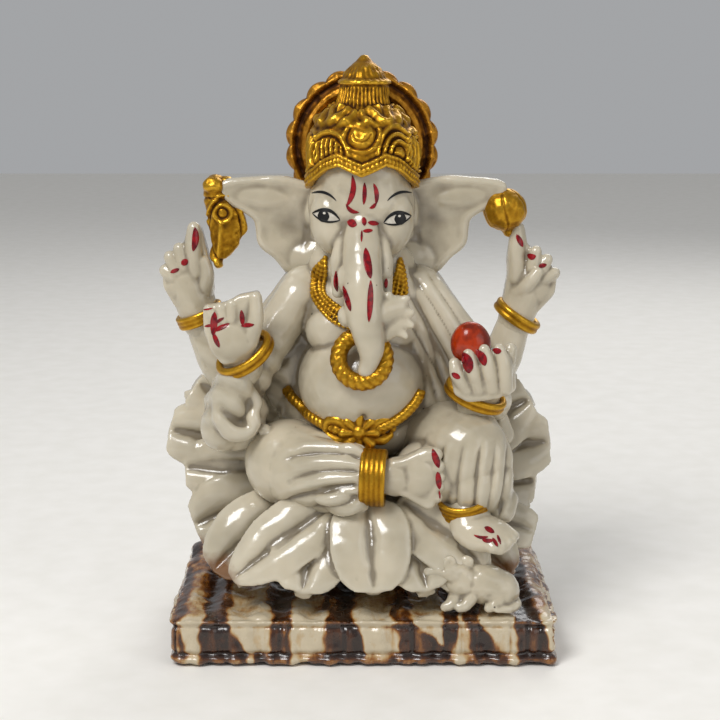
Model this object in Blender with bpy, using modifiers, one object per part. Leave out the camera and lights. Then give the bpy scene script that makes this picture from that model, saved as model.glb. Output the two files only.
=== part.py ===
"""Ganesha idol: a small painted marble-resin figure seated on a lotus, on a streaked block.

The figure is an assembly of castings bonded on a block: every casting is one object.  Castings
that meet are seated in each other with a glue gap, so that none of them overlap.  Right and left
are the figure's own: its right side is at -X, and it faces -Y.
"""

import math

import bmesh
import bpy
from mathutils import Matrix, Vector

MM = 0.001

# ---- Driving dimensions -------------------------------------------------------------------
GLUE_GAP = 0.3 * MM  # between two castings that are seated in each other
FINENESS = 0.8  # scales how many triangles the rounded shapes are made of

BASE_WIDTH = 88 * MM
BASE_DEPTH = 55 * MM
BASE_HEIGHT = 15 * MM
BASE_SLOPE = 4 * MM  # the lip stands this much lower than the top, and this far out
BASE_CORNER = 6 * MM
BASE_EDGE = 1 * MM

SEAT_WIDTH = 60 * MM  # the lotus's core, which everything sits on
SEAT_DEPTH = 38 * MM
SEAT_HEIGHT = 17 * MM
SEAT_SINK = 1.2 * MM  # how far a round underside reaches into what carries it

LAP_HEIGHT = 14 * MM  # from the seat's top to the belly's underside, taken up by the legs
BELLY_WIDTH = 30 * MM
BELLY_DEPTH = 27 * MM
BELLY_HEIGHT = 28 * MM
CHEST_WIDTH = 33 * MM
CHEST_DEPTH = 19 * MM
CHEST_HEIGHT = 22 * MM

HEAD_WIDTH = 24.4 * MM
HEAD_DEPTH = 23 * MM
HEAD_HEIGHT = 24 * MM
CROWN_HEIGHT = 28.4 * MM
CROWN_BRIM = 1.2 * MM  # how far the crown's rim stands out from the head
HALO_RADIUS = 16.4 * MM
HALO_SCALLOPS = 18
HALO_SCALLOP_DEPTH = 1.1 * MM
HALO_THICKNESS = 4 * MM
HALO_RING_RADIUS = 13.2 * MM
HALO_RING_WIRE = 1.1 * MM
EAR_WIDTH = 21 * MM
EAR_HEIGHT = 21.5 * MM
EAR_THICKNESS = 4.6 * MM

TRUNK_DROP = 33.5 * MM
TRUNK_RADIUS = 4.5 * MM
TRUNK_TIP_RADIUS = 2.5 * MM
TUSK_LENGTH = 8 * MM
TUSK_RADIUS = 1.9 * MM

ARM_RADIUS = 5.8 * MM
WRIST_RADIUS = 3.7 * MM
BANGLE_WIRE = 1.25 * MM
PALM_WIDTH = 13 * MM
FINGER_RADIUS = 1.7 * MM

LEG_RADIUS = 9.6 * MM
ANKLE_RADIUS = 5.2 * MM
FOOT_LENGTH = 13 * MM
FOOT_WIDTH = 13.5 * MM
FOOT_THICKNESS = 5.5 * MM
ANKLET_WIRE = 1.1 * MM
ANKLET_ROWS = 4

NECKLACE_WIRE = 2.1 * MM
PENDANT_RADIUS = 5.4 * MM
PENDANT_WIRE = 1.7 * MM
BELT_WIRE = 1.7 * MM
BUCKLE_WIDTH = 14.5 * MM
BUCKLE_HEIGHT = 8.4 * MM

AXE_LENGTH = 20 * MM
AXE_WIDTH = 9.4 * MM
BUD_RADIUS = 5.1 * MM
MODAK_RADIUS = 4.3 * MM
MODAK_HEIGHT = 10.4 * MM
MOUSE_LENGTH = 19 * MM
MOUSE_RADIUS = 5.2 * MM

PETAL_WIDTH = 19 * MM
PETAL_THICKNESS = 6 * MM
BACK_PETAL_WIDTH = 24 * MM
BACK_PETAL_THICKNESS = 7 * MM
BACK_PETAL_REACH = 20 * MM  # how far the longest one stands out past the lotus's core

COLOURS = {
    "white_resin": ((0.80, 0.76, 0.69), 0.22, 0.0),
    "gold_paint": ((0.60, 0.37, 0.06), 0.35, 0.9),
    "streaked_resin": ((0.42, 0.27, 0.15), 0.35, 0.0),
    "orange_paint": ((0.72, 0.12, 0.01), 0.25, 0.0),
}

# ---- Where things are, worked out from the sizes above -------------------------------------
RIGHT, LEFT = -1, 1  # the figure's own sides
SIDES = {"right": RIGHT, "left": LEFT}
SEAT_TOP = BASE_HEIGHT + SEAT_HEIGHT
BELLY = Vector((0, -3 * MM, SEAT_TOP + LAP_HEIGHT + BELLY_HEIGHT / 2))
BELLY_RADII = Vector((BELLY_WIDTH, BELLY_DEPTH, BELLY_HEIGHT)) / 2
CHEST = BELLY + Vector((0, 5 * MM, BELLY_HEIGHT / 2 + CHEST_HEIGHT / 12))
CHEST_RADII = Vector((CHEST_WIDTH, CHEST_DEPTH, CHEST_HEIGHT)) / 2
HEAD = CHEST + Vector((0, -5 * MM, CHEST_HEIGHT / 2 + HEAD_HEIGHT / 2 + 1 * MM))
HEAD_RADII = Vector((HEAD_WIDTH, HEAD_DEPTH, HEAD_HEIGHT)) / 2
CROWN_RIM = HEAD + Vector((0, 0, HEAD_HEIGHT * 0.24))
HALO = CROWN_RIM + Vector((0, HEAD_DEPTH / 2 + 1.4 * MM, CROWN_HEIGHT * 0.3))


# ---- Making one shape ----------------------------------------------------------------------
def link(obj, collection):
    collection.objects.link(obj)
    return obj


def object_from_bmesh(name, bm):
    mesh = bpy.data.meshes.new(name)
    bm.to_mesh(mesh)
    bm.free()
    return bpy.data.objects.new(name, mesh)


def ball(centre, radii, turn=(0, 0, 0)):
    """An egg of those radii, turned by degrees about X, Y and Z."""
    bm = bmesh.new()
    place = Matrix.Translation(centre)
    for axis, degrees in zip("XYZ", turn):
        place = place @ Matrix.Rotation(math.radians(degrees), 4, axis)
    place = place @ Matrix.Diagonal((*radii, 1))
    bmesh.ops.create_uvsphere(bm, u_segments=20, v_segments=12, radius=1, matrix=place)
    return object_from_bmesh("ball", bm)


def mesh_from_curve(curve):
    """The curve's own solid as a mesh object, with its caps welded on."""
    holder = link(bpy.data.objects.new("curve", curve), bpy.context.scene.collection)
    graph = bpy.context.evaluated_depsgraph_get()
    mesh = bpy.data.meshes.new_from_object(holder.evaluated_get(graph))
    bpy.data.objects.remove(holder)
    bm = bmesh.new()
    bm.from_mesh(mesh)
    bmesh.ops.remove_doubles(bm, verts=bm.verts, dist=GLUE_GAP / 30)
    bmesh.ops.recalc_face_normals(bm, faces=bm.faces)
    return object_from_bmesh("curve", bm)


def tube(stations, closed=False, sides=1, steps=2):
    """A smooth tube through the stations, each a point and the radius there."""
    curve = bpy.data.curves.new("tube", "CURVE")
    curve.dimensions = "3D"
    curve.bevel_depth = 1
    curve.bevel_resolution = sides
    curve.resolution_u = steps
    curve.use_fill_caps = not closed
    spline = curve.splines.new("BEZIER")
    spline.bezier_points.add(len(stations) - 1)
    spline.use_cyclic_u = closed
    for knot, (point, radius) in zip(spline.bezier_points, stations):
        knot.co = point
        knot.radius = radius
        knot.handle_left_type = knot.handle_right_type = "AUTO"
    return mesh_from_curve(curve)


def limb(stations):
    """A tube with round ends: the lumps that make an arm, a leg, a finger or a toe."""
    (start, start_radius), (end, end_radius) = stations[0], stations[-1]
    return [tube(stations, sides=3, steps=4), ball(start, [start_radius] * 3), ball(end, [end_radius] * 3)]


def ring(centre, axis, radius, wire, squash=1.0, steps=8):
    """A ring round an axis; squash is its second radius as a share of the first."""
    turn = Vector(axis).to_track_quat("Z", "Y")
    angles = [2 * math.pi * i / steps for i in range(steps)]
    circle = [Vector((math.cos(a), math.sin(a) * squash, 0)) * radius for a in angles]
    return tube([(centre + turn @ p, wire) for p in circle], closed=True)


def slab(outline, centre, thickness, round_over):
    """A flat plate standing in the XZ plane: outline holds its corners, in order."""
    curve = bpy.data.curves.new("slab", "CURVE")
    curve.dimensions = "2D"
    curve.fill_mode = "BOTH"
    curve.extrude = thickness / 2 - round_over
    curve.bevel_depth = round_over
    curve.bevel_resolution = 1
    curve.resolution_u = 4
    spline = curve.splines.new("BEZIER")
    spline.bezier_points.add(len(outline) - 1)
    spline.use_cyclic_u = True
    for knot, (x, z) in zip(spline.bezier_points, outline):
        knot.co = (x, z, 0)
        knot.handle_left_type = knot.handle_right_type = "AUTO"
    plate = mesh_from_curve(curve)
    upright = Matrix.Translation(centre) @ Matrix.Rotation(math.radians(90), 4, "X")
    plate.data.transform(upright)
    return plate


def evaluated_copy(obj, name):
    """A plain mesh object of what obj's modifiers make; obj itself is removed."""
    graph = bpy.context.evaluated_depsgraph_get()
    mesh = bpy.data.meshes.new_from_object(obj.evaluated_get(graph))
    bpy.data.objects.remove(obj)
    return bpy.data.objects.new(name, mesh)


def joined(lumps):
    """One object of all the lumps, which still cross each other."""
    bm = bmesh.new()
    for lump in lumps:
        bm.from_mesh(lump.data)
        bpy.data.objects.remove(lump)
    return object_from_bmesh("lumps", bm)


def fused(lumps, triangles, grain=1.0 * MM, smoothing=6):
    """The lumps as one body with soft fillets where they met, in about that many triangles."""
    body = link(joined(lumps), bpy.context.scene.collection)
    remesh = body.modifiers.new("one_skin", "REMESH")
    remesh.mode = "VOXEL"
    remesh.voxel_size = grain
    smooth = body.modifiers.new("fillets", "SMOOTH")
    smooth.iterations = smoothing
    body = link(evaluated_copy(body, "body"), bpy.context.scene.collection)
    decimate = body.modifiers.new("fewer_faces", "DECIMATE")
    decimate.ratio = min(1, FINENESS * triangles / (2 * len(body.data.polygons)))
    return evaluated_copy(body, "body")


# ---- Seating the castings in each other ----------------------------------------------------
def biggest_body(obj):
    """Drops the crumbs that a cut leaves beside the casting itself."""
    bm = bmesh.new()
    bm.from_mesh(obj.data)
    bm.verts.ensure_lookup_table()
    todo, bodies = set(bm.verts), []
    while todo:
        front, body = [todo.pop()], set()
        while front:
            vert = front.pop()
            body.add(vert)
            near = {e.other_vert(vert) for e in vert.link_edges} & todo
            todo -= near
            front.extend(near)
        bodies.append(body)
    keep = max(bodies, key=len)
    crumbs = [v for body in bodies if body is not keep for v in body]
    bmesh.ops.delete(bm, geom=crumbs, context="VERTS")
    bmesh.ops.remove_doubles(bm, verts=bm.verts, dist=GLUE_GAP / 30)
    bmesh.ops.dissolve_degenerate(bm, edges=bm.edges, dist=GLUE_GAP / 30)
    bmesh.ops.triangulate(bm, faces=bm.faces)
    bm.to_mesh(obj.data)
    bm.free()


def corners(obj):
    points = [v.co for v in obj.data.vertices]
    low = Vector(min(p[i] for p in points) for i in range(3))
    high = Vector(max(p[i] for p in points) for i in range(3))
    return low, high


def boxes_meet(first, second):
    (low, high), (other_low, other_high) = first, second
    return all(low[i] < other_high[i] and other_low[i] < high[i] for i in range(3))


class Assembly:
    """Places the castings one by one: each is cut back from all those placed before it."""

    def __init__(self, name):
        scene = bpy.context.scene.collection
        self.castings = bpy.data.collections.new(name)
        self.cutters = bpy.data.collections.new(name + "_cutters")
        scene.children.link(self.castings)
        scene.children.link(self.cutters)
        self.seated = []  # pairs of cutter and its box
        self.materials = {}

    def material(self, name):
        if name not in self.materials:
            colour, roughness, metallic = COLOURS[name]
            made = bpy.data.materials.new(name)
            made.use_nodes = True
            shader = made.node_tree.nodes["Principled BSDF"]
            shader.inputs["Base Color"].default_value = (*colour, 1)
            shader.inputs["Roughness"].default_value = roughness
            shader.inputs["Metallic"].default_value = metallic
            self.materials[name] = made
        return self.materials[name]

    def add_cutter(self, name, mesh):
        """Keeps a copy of the casting's whole shape, grown by the glue gap, to cut later ones."""
        cutter = link(bpy.data.objects.new(name + "_cutter", mesh), self.cutters)
        cutter.hide_render = True
        cutter.display_type = "WIRE"
        grow = cutter.modifiers.new("glue_gap", "DISPLACE")
        grow.strength = GLUE_GAP * 1.2
        grow.mid_level = 0
        low, high = corners(cutter)
        room = Vector([2 * GLUE_GAP] * 3)
        self.seated.append((cutter, (low - room, high + room)))

    def place(self, name, shape, material):
        whole = shape.data.copy()
        casting = link(shape, self.castings)
        for cutter, box in self.seated:
            if boxes_meet(corners(casting), box):
                cut = casting.modifiers.new("seat", "BOOLEAN")
                cut.operation = "DIFFERENCE"
                cut.solver = "MANIFOLD"  # a grown cutter may cross itself, where EXACT fails
                cut.object = cutter
        casting = link(evaluated_copy(casting, name), self.castings)
        biggest_body(casting)
        casting.name = name
        casting.data.materials.clear()
        casting.data.materials.append(self.material(material))
        casting.data.shade_smooth()
        self.add_cutter(name, whole)
        return casting


# ---- Block and lotus -----------------------------------------------------------------------
def base_block():
    bm = bmesh.new()
    place = Matrix.Translation((0, 0, BASE_HEIGHT / 2))
    size = Matrix.Diagonal((BASE_WIDTH, BASE_DEPTH, BASE_HEIGHT, 1))
    bmesh.ops.create_cube(bm, size=1, matrix=place @ size)
    upright = [e for e in bm.edges if abs(e.verts[0].co.z - e.verts[1].co.z) > BASE_HEIGHT / 2]
    bmesh.ops.bevel(bm, geom=upright, offset=BASE_CORNER, segments=4, profile=0.5, affect="EDGES")
    for level, width in ((BASE_HEIGHT, BASE_SLOPE), (0, BASE_EDGE)):
        rim = [e for e in bm.edges if all(abs(v.co.z - level) < GLUE_GAP / 30 for v in e.verts)]
        bmesh.ops.bevel(bm, geom=rim, offset=width, segments=1, profile=0.5, affect="EDGES")
    return object_from_bmesh("block", bm)


def lotus_seat():
    half = Vector((SEAT_WIDTH, SEAT_DEPTH, SEAT_HEIGHT + SEAT_SINK)) / 2
    centre = Vector((0, 0, BASE_HEIGHT - SEAT_SINK + half.z))
    waist = ball(centre, (half.x * 0.78, half.y * 0.82, half.z))
    cushion = ball(centre + Vector((0, 0, half.z * 0.35)), (half.x, half.y, half.z * 0.65))
    return fused([waist, cushion], 200, 1.6 * MM)


def leaf(t):
    """A petal's half width along its length: broad at the root end, pointed at its tip."""
    return 1.5 * (t ** 0.4) * (1 - t) ** 0.6


def petal(root, tip, outward, width, thickness, bulge):
    bm = bmesh.new()
    bmesh.ops.create_uvsphere(bm, u_segments=16, v_segments=12, radius=1)
    along = Vector(tip) - Vector(root)
    length = along.length
    side = along.cross(Vector(outward)).normalized()
    out = side.cross(along).normalized()
    for vert in bm.verts:
        t = (vert.co.z + 1) / 2
        round_x, round_y = Vector((vert.co.x, vert.co.y)).normalized() if 0 < t < 1 else (0, 0)
        across = round_x * width / 2 * leaf(t)
        thick = round_y * thickness / 2 * min(1, leaf(t)) + bulge * 4 * t * (1 - t)
        vert.co = Vector(root) + along.normalized() * (t * length) + side * across + out * thick
    bmesh.ops.recalc_face_normals(bm, faces=bm.faces)
    return fused([object_from_bmesh("petal", bm)], 100, 0.9 * MM, 2)


def on_seat(angle, reach, height):
    """A point round the lotus: angle in degrees from the front, reach as a share of its core."""
    turn = math.radians(angle)
    radii = Vector((SEAT_WIDTH, SEAT_DEPTH)) / 2
    return Vector((math.sin(turn) * radii.x * reach, -math.cos(turn) * radii.y * reach, height))


def skirt_petal(root_angle, tip_angle, reach, layer):
    """A petal that hangs from the lotus's rim; layer 0 is the upper row, and 1 the lower one."""
    root = on_seat(root_angle, 0.86, SEAT_TOP + (3.6 if layer == 0 else 1) * MM)
    tip = on_seat(tip_angle, reach, BASE_HEIGHT + (1.4 if layer == 0 else 0.6) * MM)
    out = on_seat(tip_angle, 1, 0).normalized() + Vector((0, -0.7, 0.6))
    width = PETAL_WIDTH * (1 if layer == 0 else 0.95)
    return petal(root, tip, out, width, PETAL_THICKNESS, (2.6 if layer == 0 else 1.4) * MM)


def back_petal(side, rise, reach, depth):
    """A long petal that fans out beside the figure; rise is its angle above level, in degrees."""
    turn = math.radians(rise)
    root = Vector((side * SEAT_WIDTH * 0.22, depth, SEAT_TOP + 1 * MM))
    length = SEAT_WIDTH * 0.26 + BACK_PETAL_REACH * reach
    tip = root + Vector((side * math.cos(turn), 0, math.sin(turn))) * length
    out = Vector((0, -1, 0.35))
    return petal(root, tip, out, BACK_PETAL_WIDTH, BACK_PETAL_THICKNESS, 1.5 * MM)


def rear_petal(angle):
    root = on_seat(angle, 0.6, SEAT_TOP + 3 * MM)
    tip = on_seat(angle, 1.24, BASE_HEIGHT + 1.5 * MM)
    return petal(root, tip, on_seat(angle, 1, 8 * MM), BACK_PETAL_WIDTH, PETAL_THICKNESS, 3 * MM)


# ---- Trunk of the body, legs and feet ------------------------------------------------------
def torso():
    hips = ball(BELLY + Vector((0, 6 * MM, -BELLY_HEIGHT / 2)), (15 * MM, 10 * MM, 9 * MM))
    belly = ball(BELLY, BELLY_RADII)
    chest = ball(CHEST, CHEST_RADII)
    neck = ball((CHEST + HEAD) / 2 + Vector((0, 3 * MM, 0)), (9 * MM, 8 * MM, 9 * MM))
    return fused([hips, belly, chest, neck], 360, 1.2 * MM)


def leg_points(side):
    """Hip, knee and ankle."""
    lap = SEAT_TOP + LEG_RADIUS
    hip = Vector((side * BELLY_WIDTH * 0.36, 2 * MM, lap + 2 * MM))
    if side == RIGHT:
        knee = Vector((-BELLY_WIDTH * 0.57, -6 * MM, lap))
        ankle = Vector((1.5 * MM, -BELLY_DEPTH * 0.68, lap))
        return hip, knee, ankle
    knee = Vector((BELLY_WIDTH * 0.83, -7 * MM, lap + 5 * MM))
    ankle = Vector((BELLY_WIDTH * 0.77, -15.5 * MM, SEAT_TOP + 3 * MM))
    return hip, knee, ankle


def folded_leg():
    hip, knee, ankle = leg_points(RIGHT)
    shin = (knee + ankle) / 2 + Vector((-1 * MM, -2.5 * MM, 0))
    lumps = [ball(knee, (LEG_RADIUS, LEG_RADIUS * 0.95, LEG_RADIUS * 1.08))]
    lumps += limb([(hip, LEG_RADIUS * 0.9), (knee, LEG_RADIUS * 0.9)])
    lumps += limb([(knee, LEG_RADIUS), (shin, LEG_RADIUS * 0.84), (ankle, ANKLE_RADIUS)])
    return fused(lumps, 230, 1.2 * MM)


def raised_leg():
    hip, knee, ankle = leg_points(LEFT)
    calf = (knee + ankle) / 2 + Vector((2 * MM, 2 * MM, -1 * MM))
    lumps = limb([(hip, LEG_RADIUS * 0.8), (knee, LEG_RADIUS * 0.93)])
    lumps += limb([(knee, LEG_RADIUS * 0.95), (calf, LEG_RADIUS * 0.92), (ankle, ANKLE_RADIUS)])
    return fused(lumps, 230, 1.2 * MM)


def foot(heel, toes, sole, toe_spread):
    """A foot from its heel to its toes; sole is the way it faces, toe_spread runs over the toes."""
    along = (toes - heel).normalized()
    middle = (heel + toes) / 2
    across = toe_spread.normalized()
    place = Matrix((along, across, sole.normalized())).transposed().to_4x4()
    half = Vector(((toes - heel).length / 2 + 1 * MM, FOOT_WIDTH * 0.42, FOOT_THICKNESS / 2))
    instep = ball((0, 0, 0), half)
    instep.data.transform(Matrix.Translation(middle) @ place)
    lumps = [instep]
    for i in range(5):
        share = i / 4 - 0.5
        size = FOOT_WIDTH * (0.15 - 0.02 * i)
        tip = toes + across * (share * FOOT_WIDTH * 0.8) - along * (abs(share) * 1.5 * MM)
        lumps += limb([(middle + across * (share * FOOT_WIDTH * 0.5), size * 1.2), (tip, size)])
    return fused(lumps, 200, 0.8 * MM, 4)


def folded_foot():
    ankle = leg_points(RIGHT)[2]
    heel = ankle + Vector((3.5 * MM, -1 * MM, 0))
    toes = heel + Vector((FOOT_LENGTH * 0.9, 1 * MM, -1 * MM))
    return foot(heel, toes, Vector((0.1, -1, 0.1)), Vector((-0.12, 0, -1)))


def raised_foot():
    ankle = leg_points(LEFT)[2]
    heel = ankle + Vector((-1.5 * MM, -2 * MM, -4 * MM))
    toes = heel + Vector((FOOT_LENGTH * 0.72, -5 * MM, -2.5 * MM))
    return foot(heel, toes, Vector((0, -0.5, 1)), Vector((-0.7, -0.7, -0.5)))


def anklet(centre, axis, radius, spacing):
    axis = Vector(axis).normalized()
    rows = [i - (ANKLET_ROWS - 1) / 2 for i in range(ANKLET_ROWS)]
    bands = [ring(centre + axis * (spacing * row), axis, radius, ANKLET_WIRE) for row in rows]
    return fused(bands, 180, 0.6 * MM, 2)


# ---- Head ----------------------------------------------------------------------------------
def head():
    skull = ball(HEAD + Vector((0, 1 * MM, HEAD_HEIGHT * 0.02)), HEAD_RADII)
    brow_radii = HEAD_RADII * 0.5
    brow_place = Vector((HEAD_WIDTH * 0.22, -HEAD_DEPTH * 0.2, HEAD_HEIGHT * 0.1))
    cheek_place = Vector((HEAD_WIDTH * 0.24, -HEAD_DEPTH * 0.14, -HEAD_HEIGHT * 0.26))
    cheek_radii = Vector((HEAD_WIDTH * 0.24, HEAD_DEPTH * 0.3, HEAD_HEIGHT * 0.34))
    lumps = [skull]
    for side in SIDES.values():
        mirrored = Vector((side, 1, 1))
        lumps.append(ball(HEAD + brow_place * mirrored, brow_radii))
        lumps.append(ball(HEAD + cheek_place * mirrored, cheek_radii, (0, side * 14, 0)))
    return fused(lumps, 320, 0.9 * MM)


def trunk_stations():
    top = HEAD + Vector((0, -HEAD_DEPTH * 0.33, HEAD_HEIGHT * 0.06))
    shape = ((0, 0, 0.8), (0.08, -2.6, 0.9), (0.48, -9, 1.06), (0.75, -11.5, 0.88), (0.9, -11.6, 0.7))
    stations = [
        (top + Vector((drop * 1.8 * MM, forward * MM, -drop * TRUNK_DROP)), TRUNK_RADIUS * size)
        for drop, forward, size in shape
    ]
    tip = top + Vector((1 * MM, -10.6 * MM, -TRUNK_DROP * 1.02))
    return stations + [(tip, TRUNK_TIP_RADIUS)]


def trunk():
    return fused(limb(trunk_stations()), 180, 0.8 * MM)


def trunk_curl():
    """The knobbed end that turns out to the figure's left beside the trunk."""
    start = trunk_stations()[3][0] + Vector((2 * MM, 3.4 * MM, 0))
    elbow = start + Vector((5 * MM, 0.6 * MM, -0.5 * MM))
    end = elbow + Vector((3.4 * MM, 0, 4 * MM))
    lumps = limb([(start, TRUNK_RADIUS * 0.95), (elbow, TRUNK_RADIUS * 0.9), (end, TRUNK_RADIUS * 0.7)])
    for angle in (-20, 35, 85):
        turn = math.radians(angle)
        knob = end + Vector((math.cos(turn), -0.2, math.sin(turn))) * 3 * MM
        lumps.append(ball(knob, [FINGER_RADIUS] * 3))
    return fused(lumps, 140, 0.7 * MM, 4)


def tusk(side):
    root = HEAD + Vector((side * HEAD_WIDTH * 0.2, -HEAD_DEPTH * 0.36, -HEAD_HEIGHT * 0.42))
    tip = root + Vector((side * 0.8 * MM, -0.45 * TUSK_LENGTH, -0.85 * TUSK_LENGTH))
    return fused(limb([(root, TUSK_RADIUS), ((root + tip) / 2, TUSK_RADIUS * 0.9), (tip, TUSK_RADIUS * 0.55)]),
                 90, 0.6 * MM, 2)


def ear(side):
    """A broad fan with a rolled rim, its narrow end at the shoulder."""
    outline = [(0.0, 0.42), (0.5, 0.46), (1.0, 0.5), (1.04, 0.4), (0.86, 0.14), (0.68, -0.04),
               (0.6, -0.3), (0.38, -0.5), (0.0, -0.44)]
    points = [(side * x * EAR_WIDTH, z * EAR_HEIGHT) for x, z in outline]
    centre = HEAD + Vector((side * HEAD_WIDTH * 0.4, 6 * MM, -HEAD_HEIGHT * 0.14))
    plate = slab(points, centre, EAR_THICKNESS, EAR_THICKNESS * 0.3)
    return fused([plate], 160, 0.8 * MM, 3)


def crown():
    """A turned cap with a band, a tier, a collar and a bud on top."""
    rim = HEAD_WIDTH / 2 + CROWN_BRIM
    tiers = ((1.0, 0.0), (1.0, 0.07), (0.9, 0.1), (0.91, 0.3), (0.8, 0.45), (0.58, 0.58),
             (0.44, 0.66), (0.47, 0.71), (0.42, 0.83), (0.24, 0.9), (0.11, 0.95), (0.07, 1.0))
    bm = bmesh.new()
    axis_bottom = bm.verts.new((0, 0, 0))
    outline = [bm.verts.new((rim * r, 0, CROWN_HEIGHT * z)) for r, z in tiers]
    axis_top = bm.verts.new((0, 0, CROWN_HEIGHT))
    chain = [axis_bottom, *outline, axis_top]
    for low, high in zip(chain, chain[1:]):
        bm.edges.new((low, high))
    bmesh.ops.spin(bm, geom=bm.verts[:] + bm.edges[:], axis=(0, 0, 1), cent=(0, 0, 0),
                   angle=2 * math.pi, steps=12, use_merge=True)
    bmesh.ops.remove_doubles(bm, verts=bm.verts, dist=GLUE_GAP / 30)
    bmesh.ops.recalc_face_normals(bm, faces=bm.faces)
    bmesh.ops.scale(bm, vec=(1, HEAD_DEPTH / HEAD_WIDTH, 1), verts=bm.verts)
    bmesh.ops.rotate(bm, matrix=Matrix.Rotation(math.radians(6), 3, "X"), verts=bm.verts)
    bmesh.ops.translate(bm, vec=CROWN_RIM, verts=bm.verts)
    return object_from_bmesh("crown", bm)


def halo():
    steps = HALO_SCALLOPS * 3
    outline = []
    for i in range(steps):
        angle = 2 * math.pi * i / steps
        radius = HALO_RADIUS + HALO_SCALLOP_DEPTH * abs(math.sin(HALO_SCALLOPS * angle / 2))
        outline.append((radius * math.cos(angle), radius * math.sin(angle)))
    curve = bpy.data.curves.new("halo", "CURVE")
    curve.dimensions = "2D"
    curve.fill_mode = "BOTH"
    curve.extrude = HALO_THICKNESS / 2
    spline = curve.splines.new("POLY")
    spline.points.add(len(outline) - 1)
    spline.use_cyclic_u = True
    for knot, (x, z) in zip(spline.points, outline):
        knot.co = (x, z, 0, 1)
    plate = mesh_from_curve(curve)
    plate.data.transform(Matrix.Translation(HALO) @ Matrix.Rotation(math.radians(90), 4, "X"))
    return plate


def halo_ring():
    front = HALO - Vector((0, HALO_THICKNESS / 2, 0))
    return ring(front, (0, -1, 0), HALO_RING_RADIUS, HALO_RING_WIRE, steps=12)


# ---- Arms and hands ------------------------------------------------------------------------
def arm_points(side, level):
    """Shoulder, elbow and wrist of one of the four arms."""
    if level == "upper":
        shoulder = CHEST + Vector((side * CHEST_WIDTH * 0.46, 3 * MM, CHEST_HEIGHT * 0.2))
        elbow = shoulder + Vector((side * 13.5 * MM, 1 * MM, -23 * MM))
        wrist = elbow + Vector((side * (9.5 if side == RIGHT else 7.5) * MM, -1 * MM, 17 * MM))
    elif side == RIGHT:
        shoulder = CHEST + Vector((-CHEST_WIDTH * 0.46, -3 * MM, CHEST_HEIGHT * 0.1))
        elbow = shoulder + Vector((-16 * MM, -3 * MM, -26 * MM))
        wrist = elbow + Vector((4.5 * MM, -9 * MM, 15 * MM))
    else:
        shoulder = CHEST + Vector((CHEST_WIDTH * 0.46, -2 * MM, CHEST_HEIGHT * 0.1))
        elbow = shoulder + Vector((14 * MM, 1 * MM, -20 * MM))
        wrist = elbow + Vector((-3 * MM, -13 * MM, 0.5 * MM))
    return shoulder, elbow, wrist


def arm(side, level):
    shoulder, elbow, wrist = arm_points(side, level)
    upper = (shoulder + elbow) / 2 + Vector((side * 1 * MM, 0, 0))
    lumps = limb([(shoulder, ARM_RADIUS), (upper, ARM_RADIUS * 0.95), (elbow, ARM_RADIUS * 0.9)])
    lumps += limb([(elbow, ARM_RADIUS * 0.9), ((elbow + wrist) / 2, ARM_RADIUS * 0.84), (wrist, WRIST_RADIUS)])
    return fused(lumps, 180, 1.0 * MM)


def bangle(side, level):
    shoulder, elbow, wrist = arm_points(side, level)
    return ring(wrist, wrist - elbow, WRIST_RADIUS + BANGLE_WIRE * 0.5, BANGLE_WIRE)


def fingers(root, reaches, radius=FINGER_RADIUS):
    """Lumps for the fingers, each from the palm's root to its own reach."""
    lumps = []
    for start, middle, end in reaches:
        lumps += limb([(root + Vector(start) * MM, radius), (root + Vector(middle) * MM, radius),
                       (root + Vector(end) * MM, radius * 0.8)])
    return lumps


def upper_hand(side):
    """A hand raised beside the ear, with its first finger up and the others curled outward."""
    wrist = arm_points(side, "upper")[2]
    palm = wrist + Vector((side * 2.5 * MM, 0, 9 * MM))
    lumps = [ball(palm, (PALM_WIDTH * 0.38, 4 * MM, 7 * MM), (0, side * 18, 0))]
    lumps += limb([(wrist, WRIST_RADIUS), (palm, WRIST_RADIUS * 1.1)])
    s = side
    reaches = [((-s * 1.5, 0, 3), (-s * 3, -0.5, 8), (-s * 3, -1, 12.4)),
               ((s * 0, -1, 4), (s * 1, -2.5, 7), (s * 1.5, -3, 8)),
               ((s * 2, -1, 3), (s * 4, -2.5, 4.5), (s * 4.5, -3, 4)),
               ((s * 3, 0, 0), (s * 5, -2, 1.5), (s * 5.5, -3, 0))]
    return fused(lumps + fingers(palm, reaches), 210, 0.7 * MM, 4)


def blessing_hand():
    wrist = arm_points(RIGHT, "lower")[2]
    palm = wrist + Vector((-2 * MM, -3.5 * MM, 7.5 * MM))
    lumps = [ball(palm, (PALM_WIDTH * 0.52, 2.8 * MM, 8 * MM)),
             ball(palm + Vector((0, 1 * MM, 3 * MM)), (PALM_WIDTH * 0.5, 2.4 * MM, 6 * MM))]
    lumps += limb([(wrist, WRIST_RADIUS), (palm, WRIST_RADIUS * 0.9)])
    reaches = [((x, 0, 3), (x, 0.5, 6), (x + 0.2, 1, 7.5 + rise))
               for x, rise in ((-4.6, -1.0), (-1.6, -0.4), (1.6, 1.4), (4.6, 2.0))]
    return fused(lumps + fingers(palm, reaches, FINGER_RADIUS * 1.1), 210, 0.7 * MM, 4)


def offering_hand():
    wrist = arm_points(LEFT, "lower")[2]
    palm = wrist + Vector((0.5 * MM, -2 * MM, 2.5 * MM))
    lumps = [ball(palm, (PALM_WIDTH * 0.52, 4.4 * MM, 5.4 * MM))]
    lumps += limb([(wrist, WRIST_RADIUS), (palm, WRIST_RADIUS)])
    reaches = [((x, -2, 0), (x * 1.05, -3, 4), (x, -2, 7 - abs(x) * 0.5)) for x in (-5, -1.8, 1.6, 4.6)]
    reaches.append(((6, 1, 2), (7, 0.5, 6), (6.4, 0, 9)))
    return fused(lumps + fingers(palm, reaches), 210, 0.7 * MM, 4)


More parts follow.
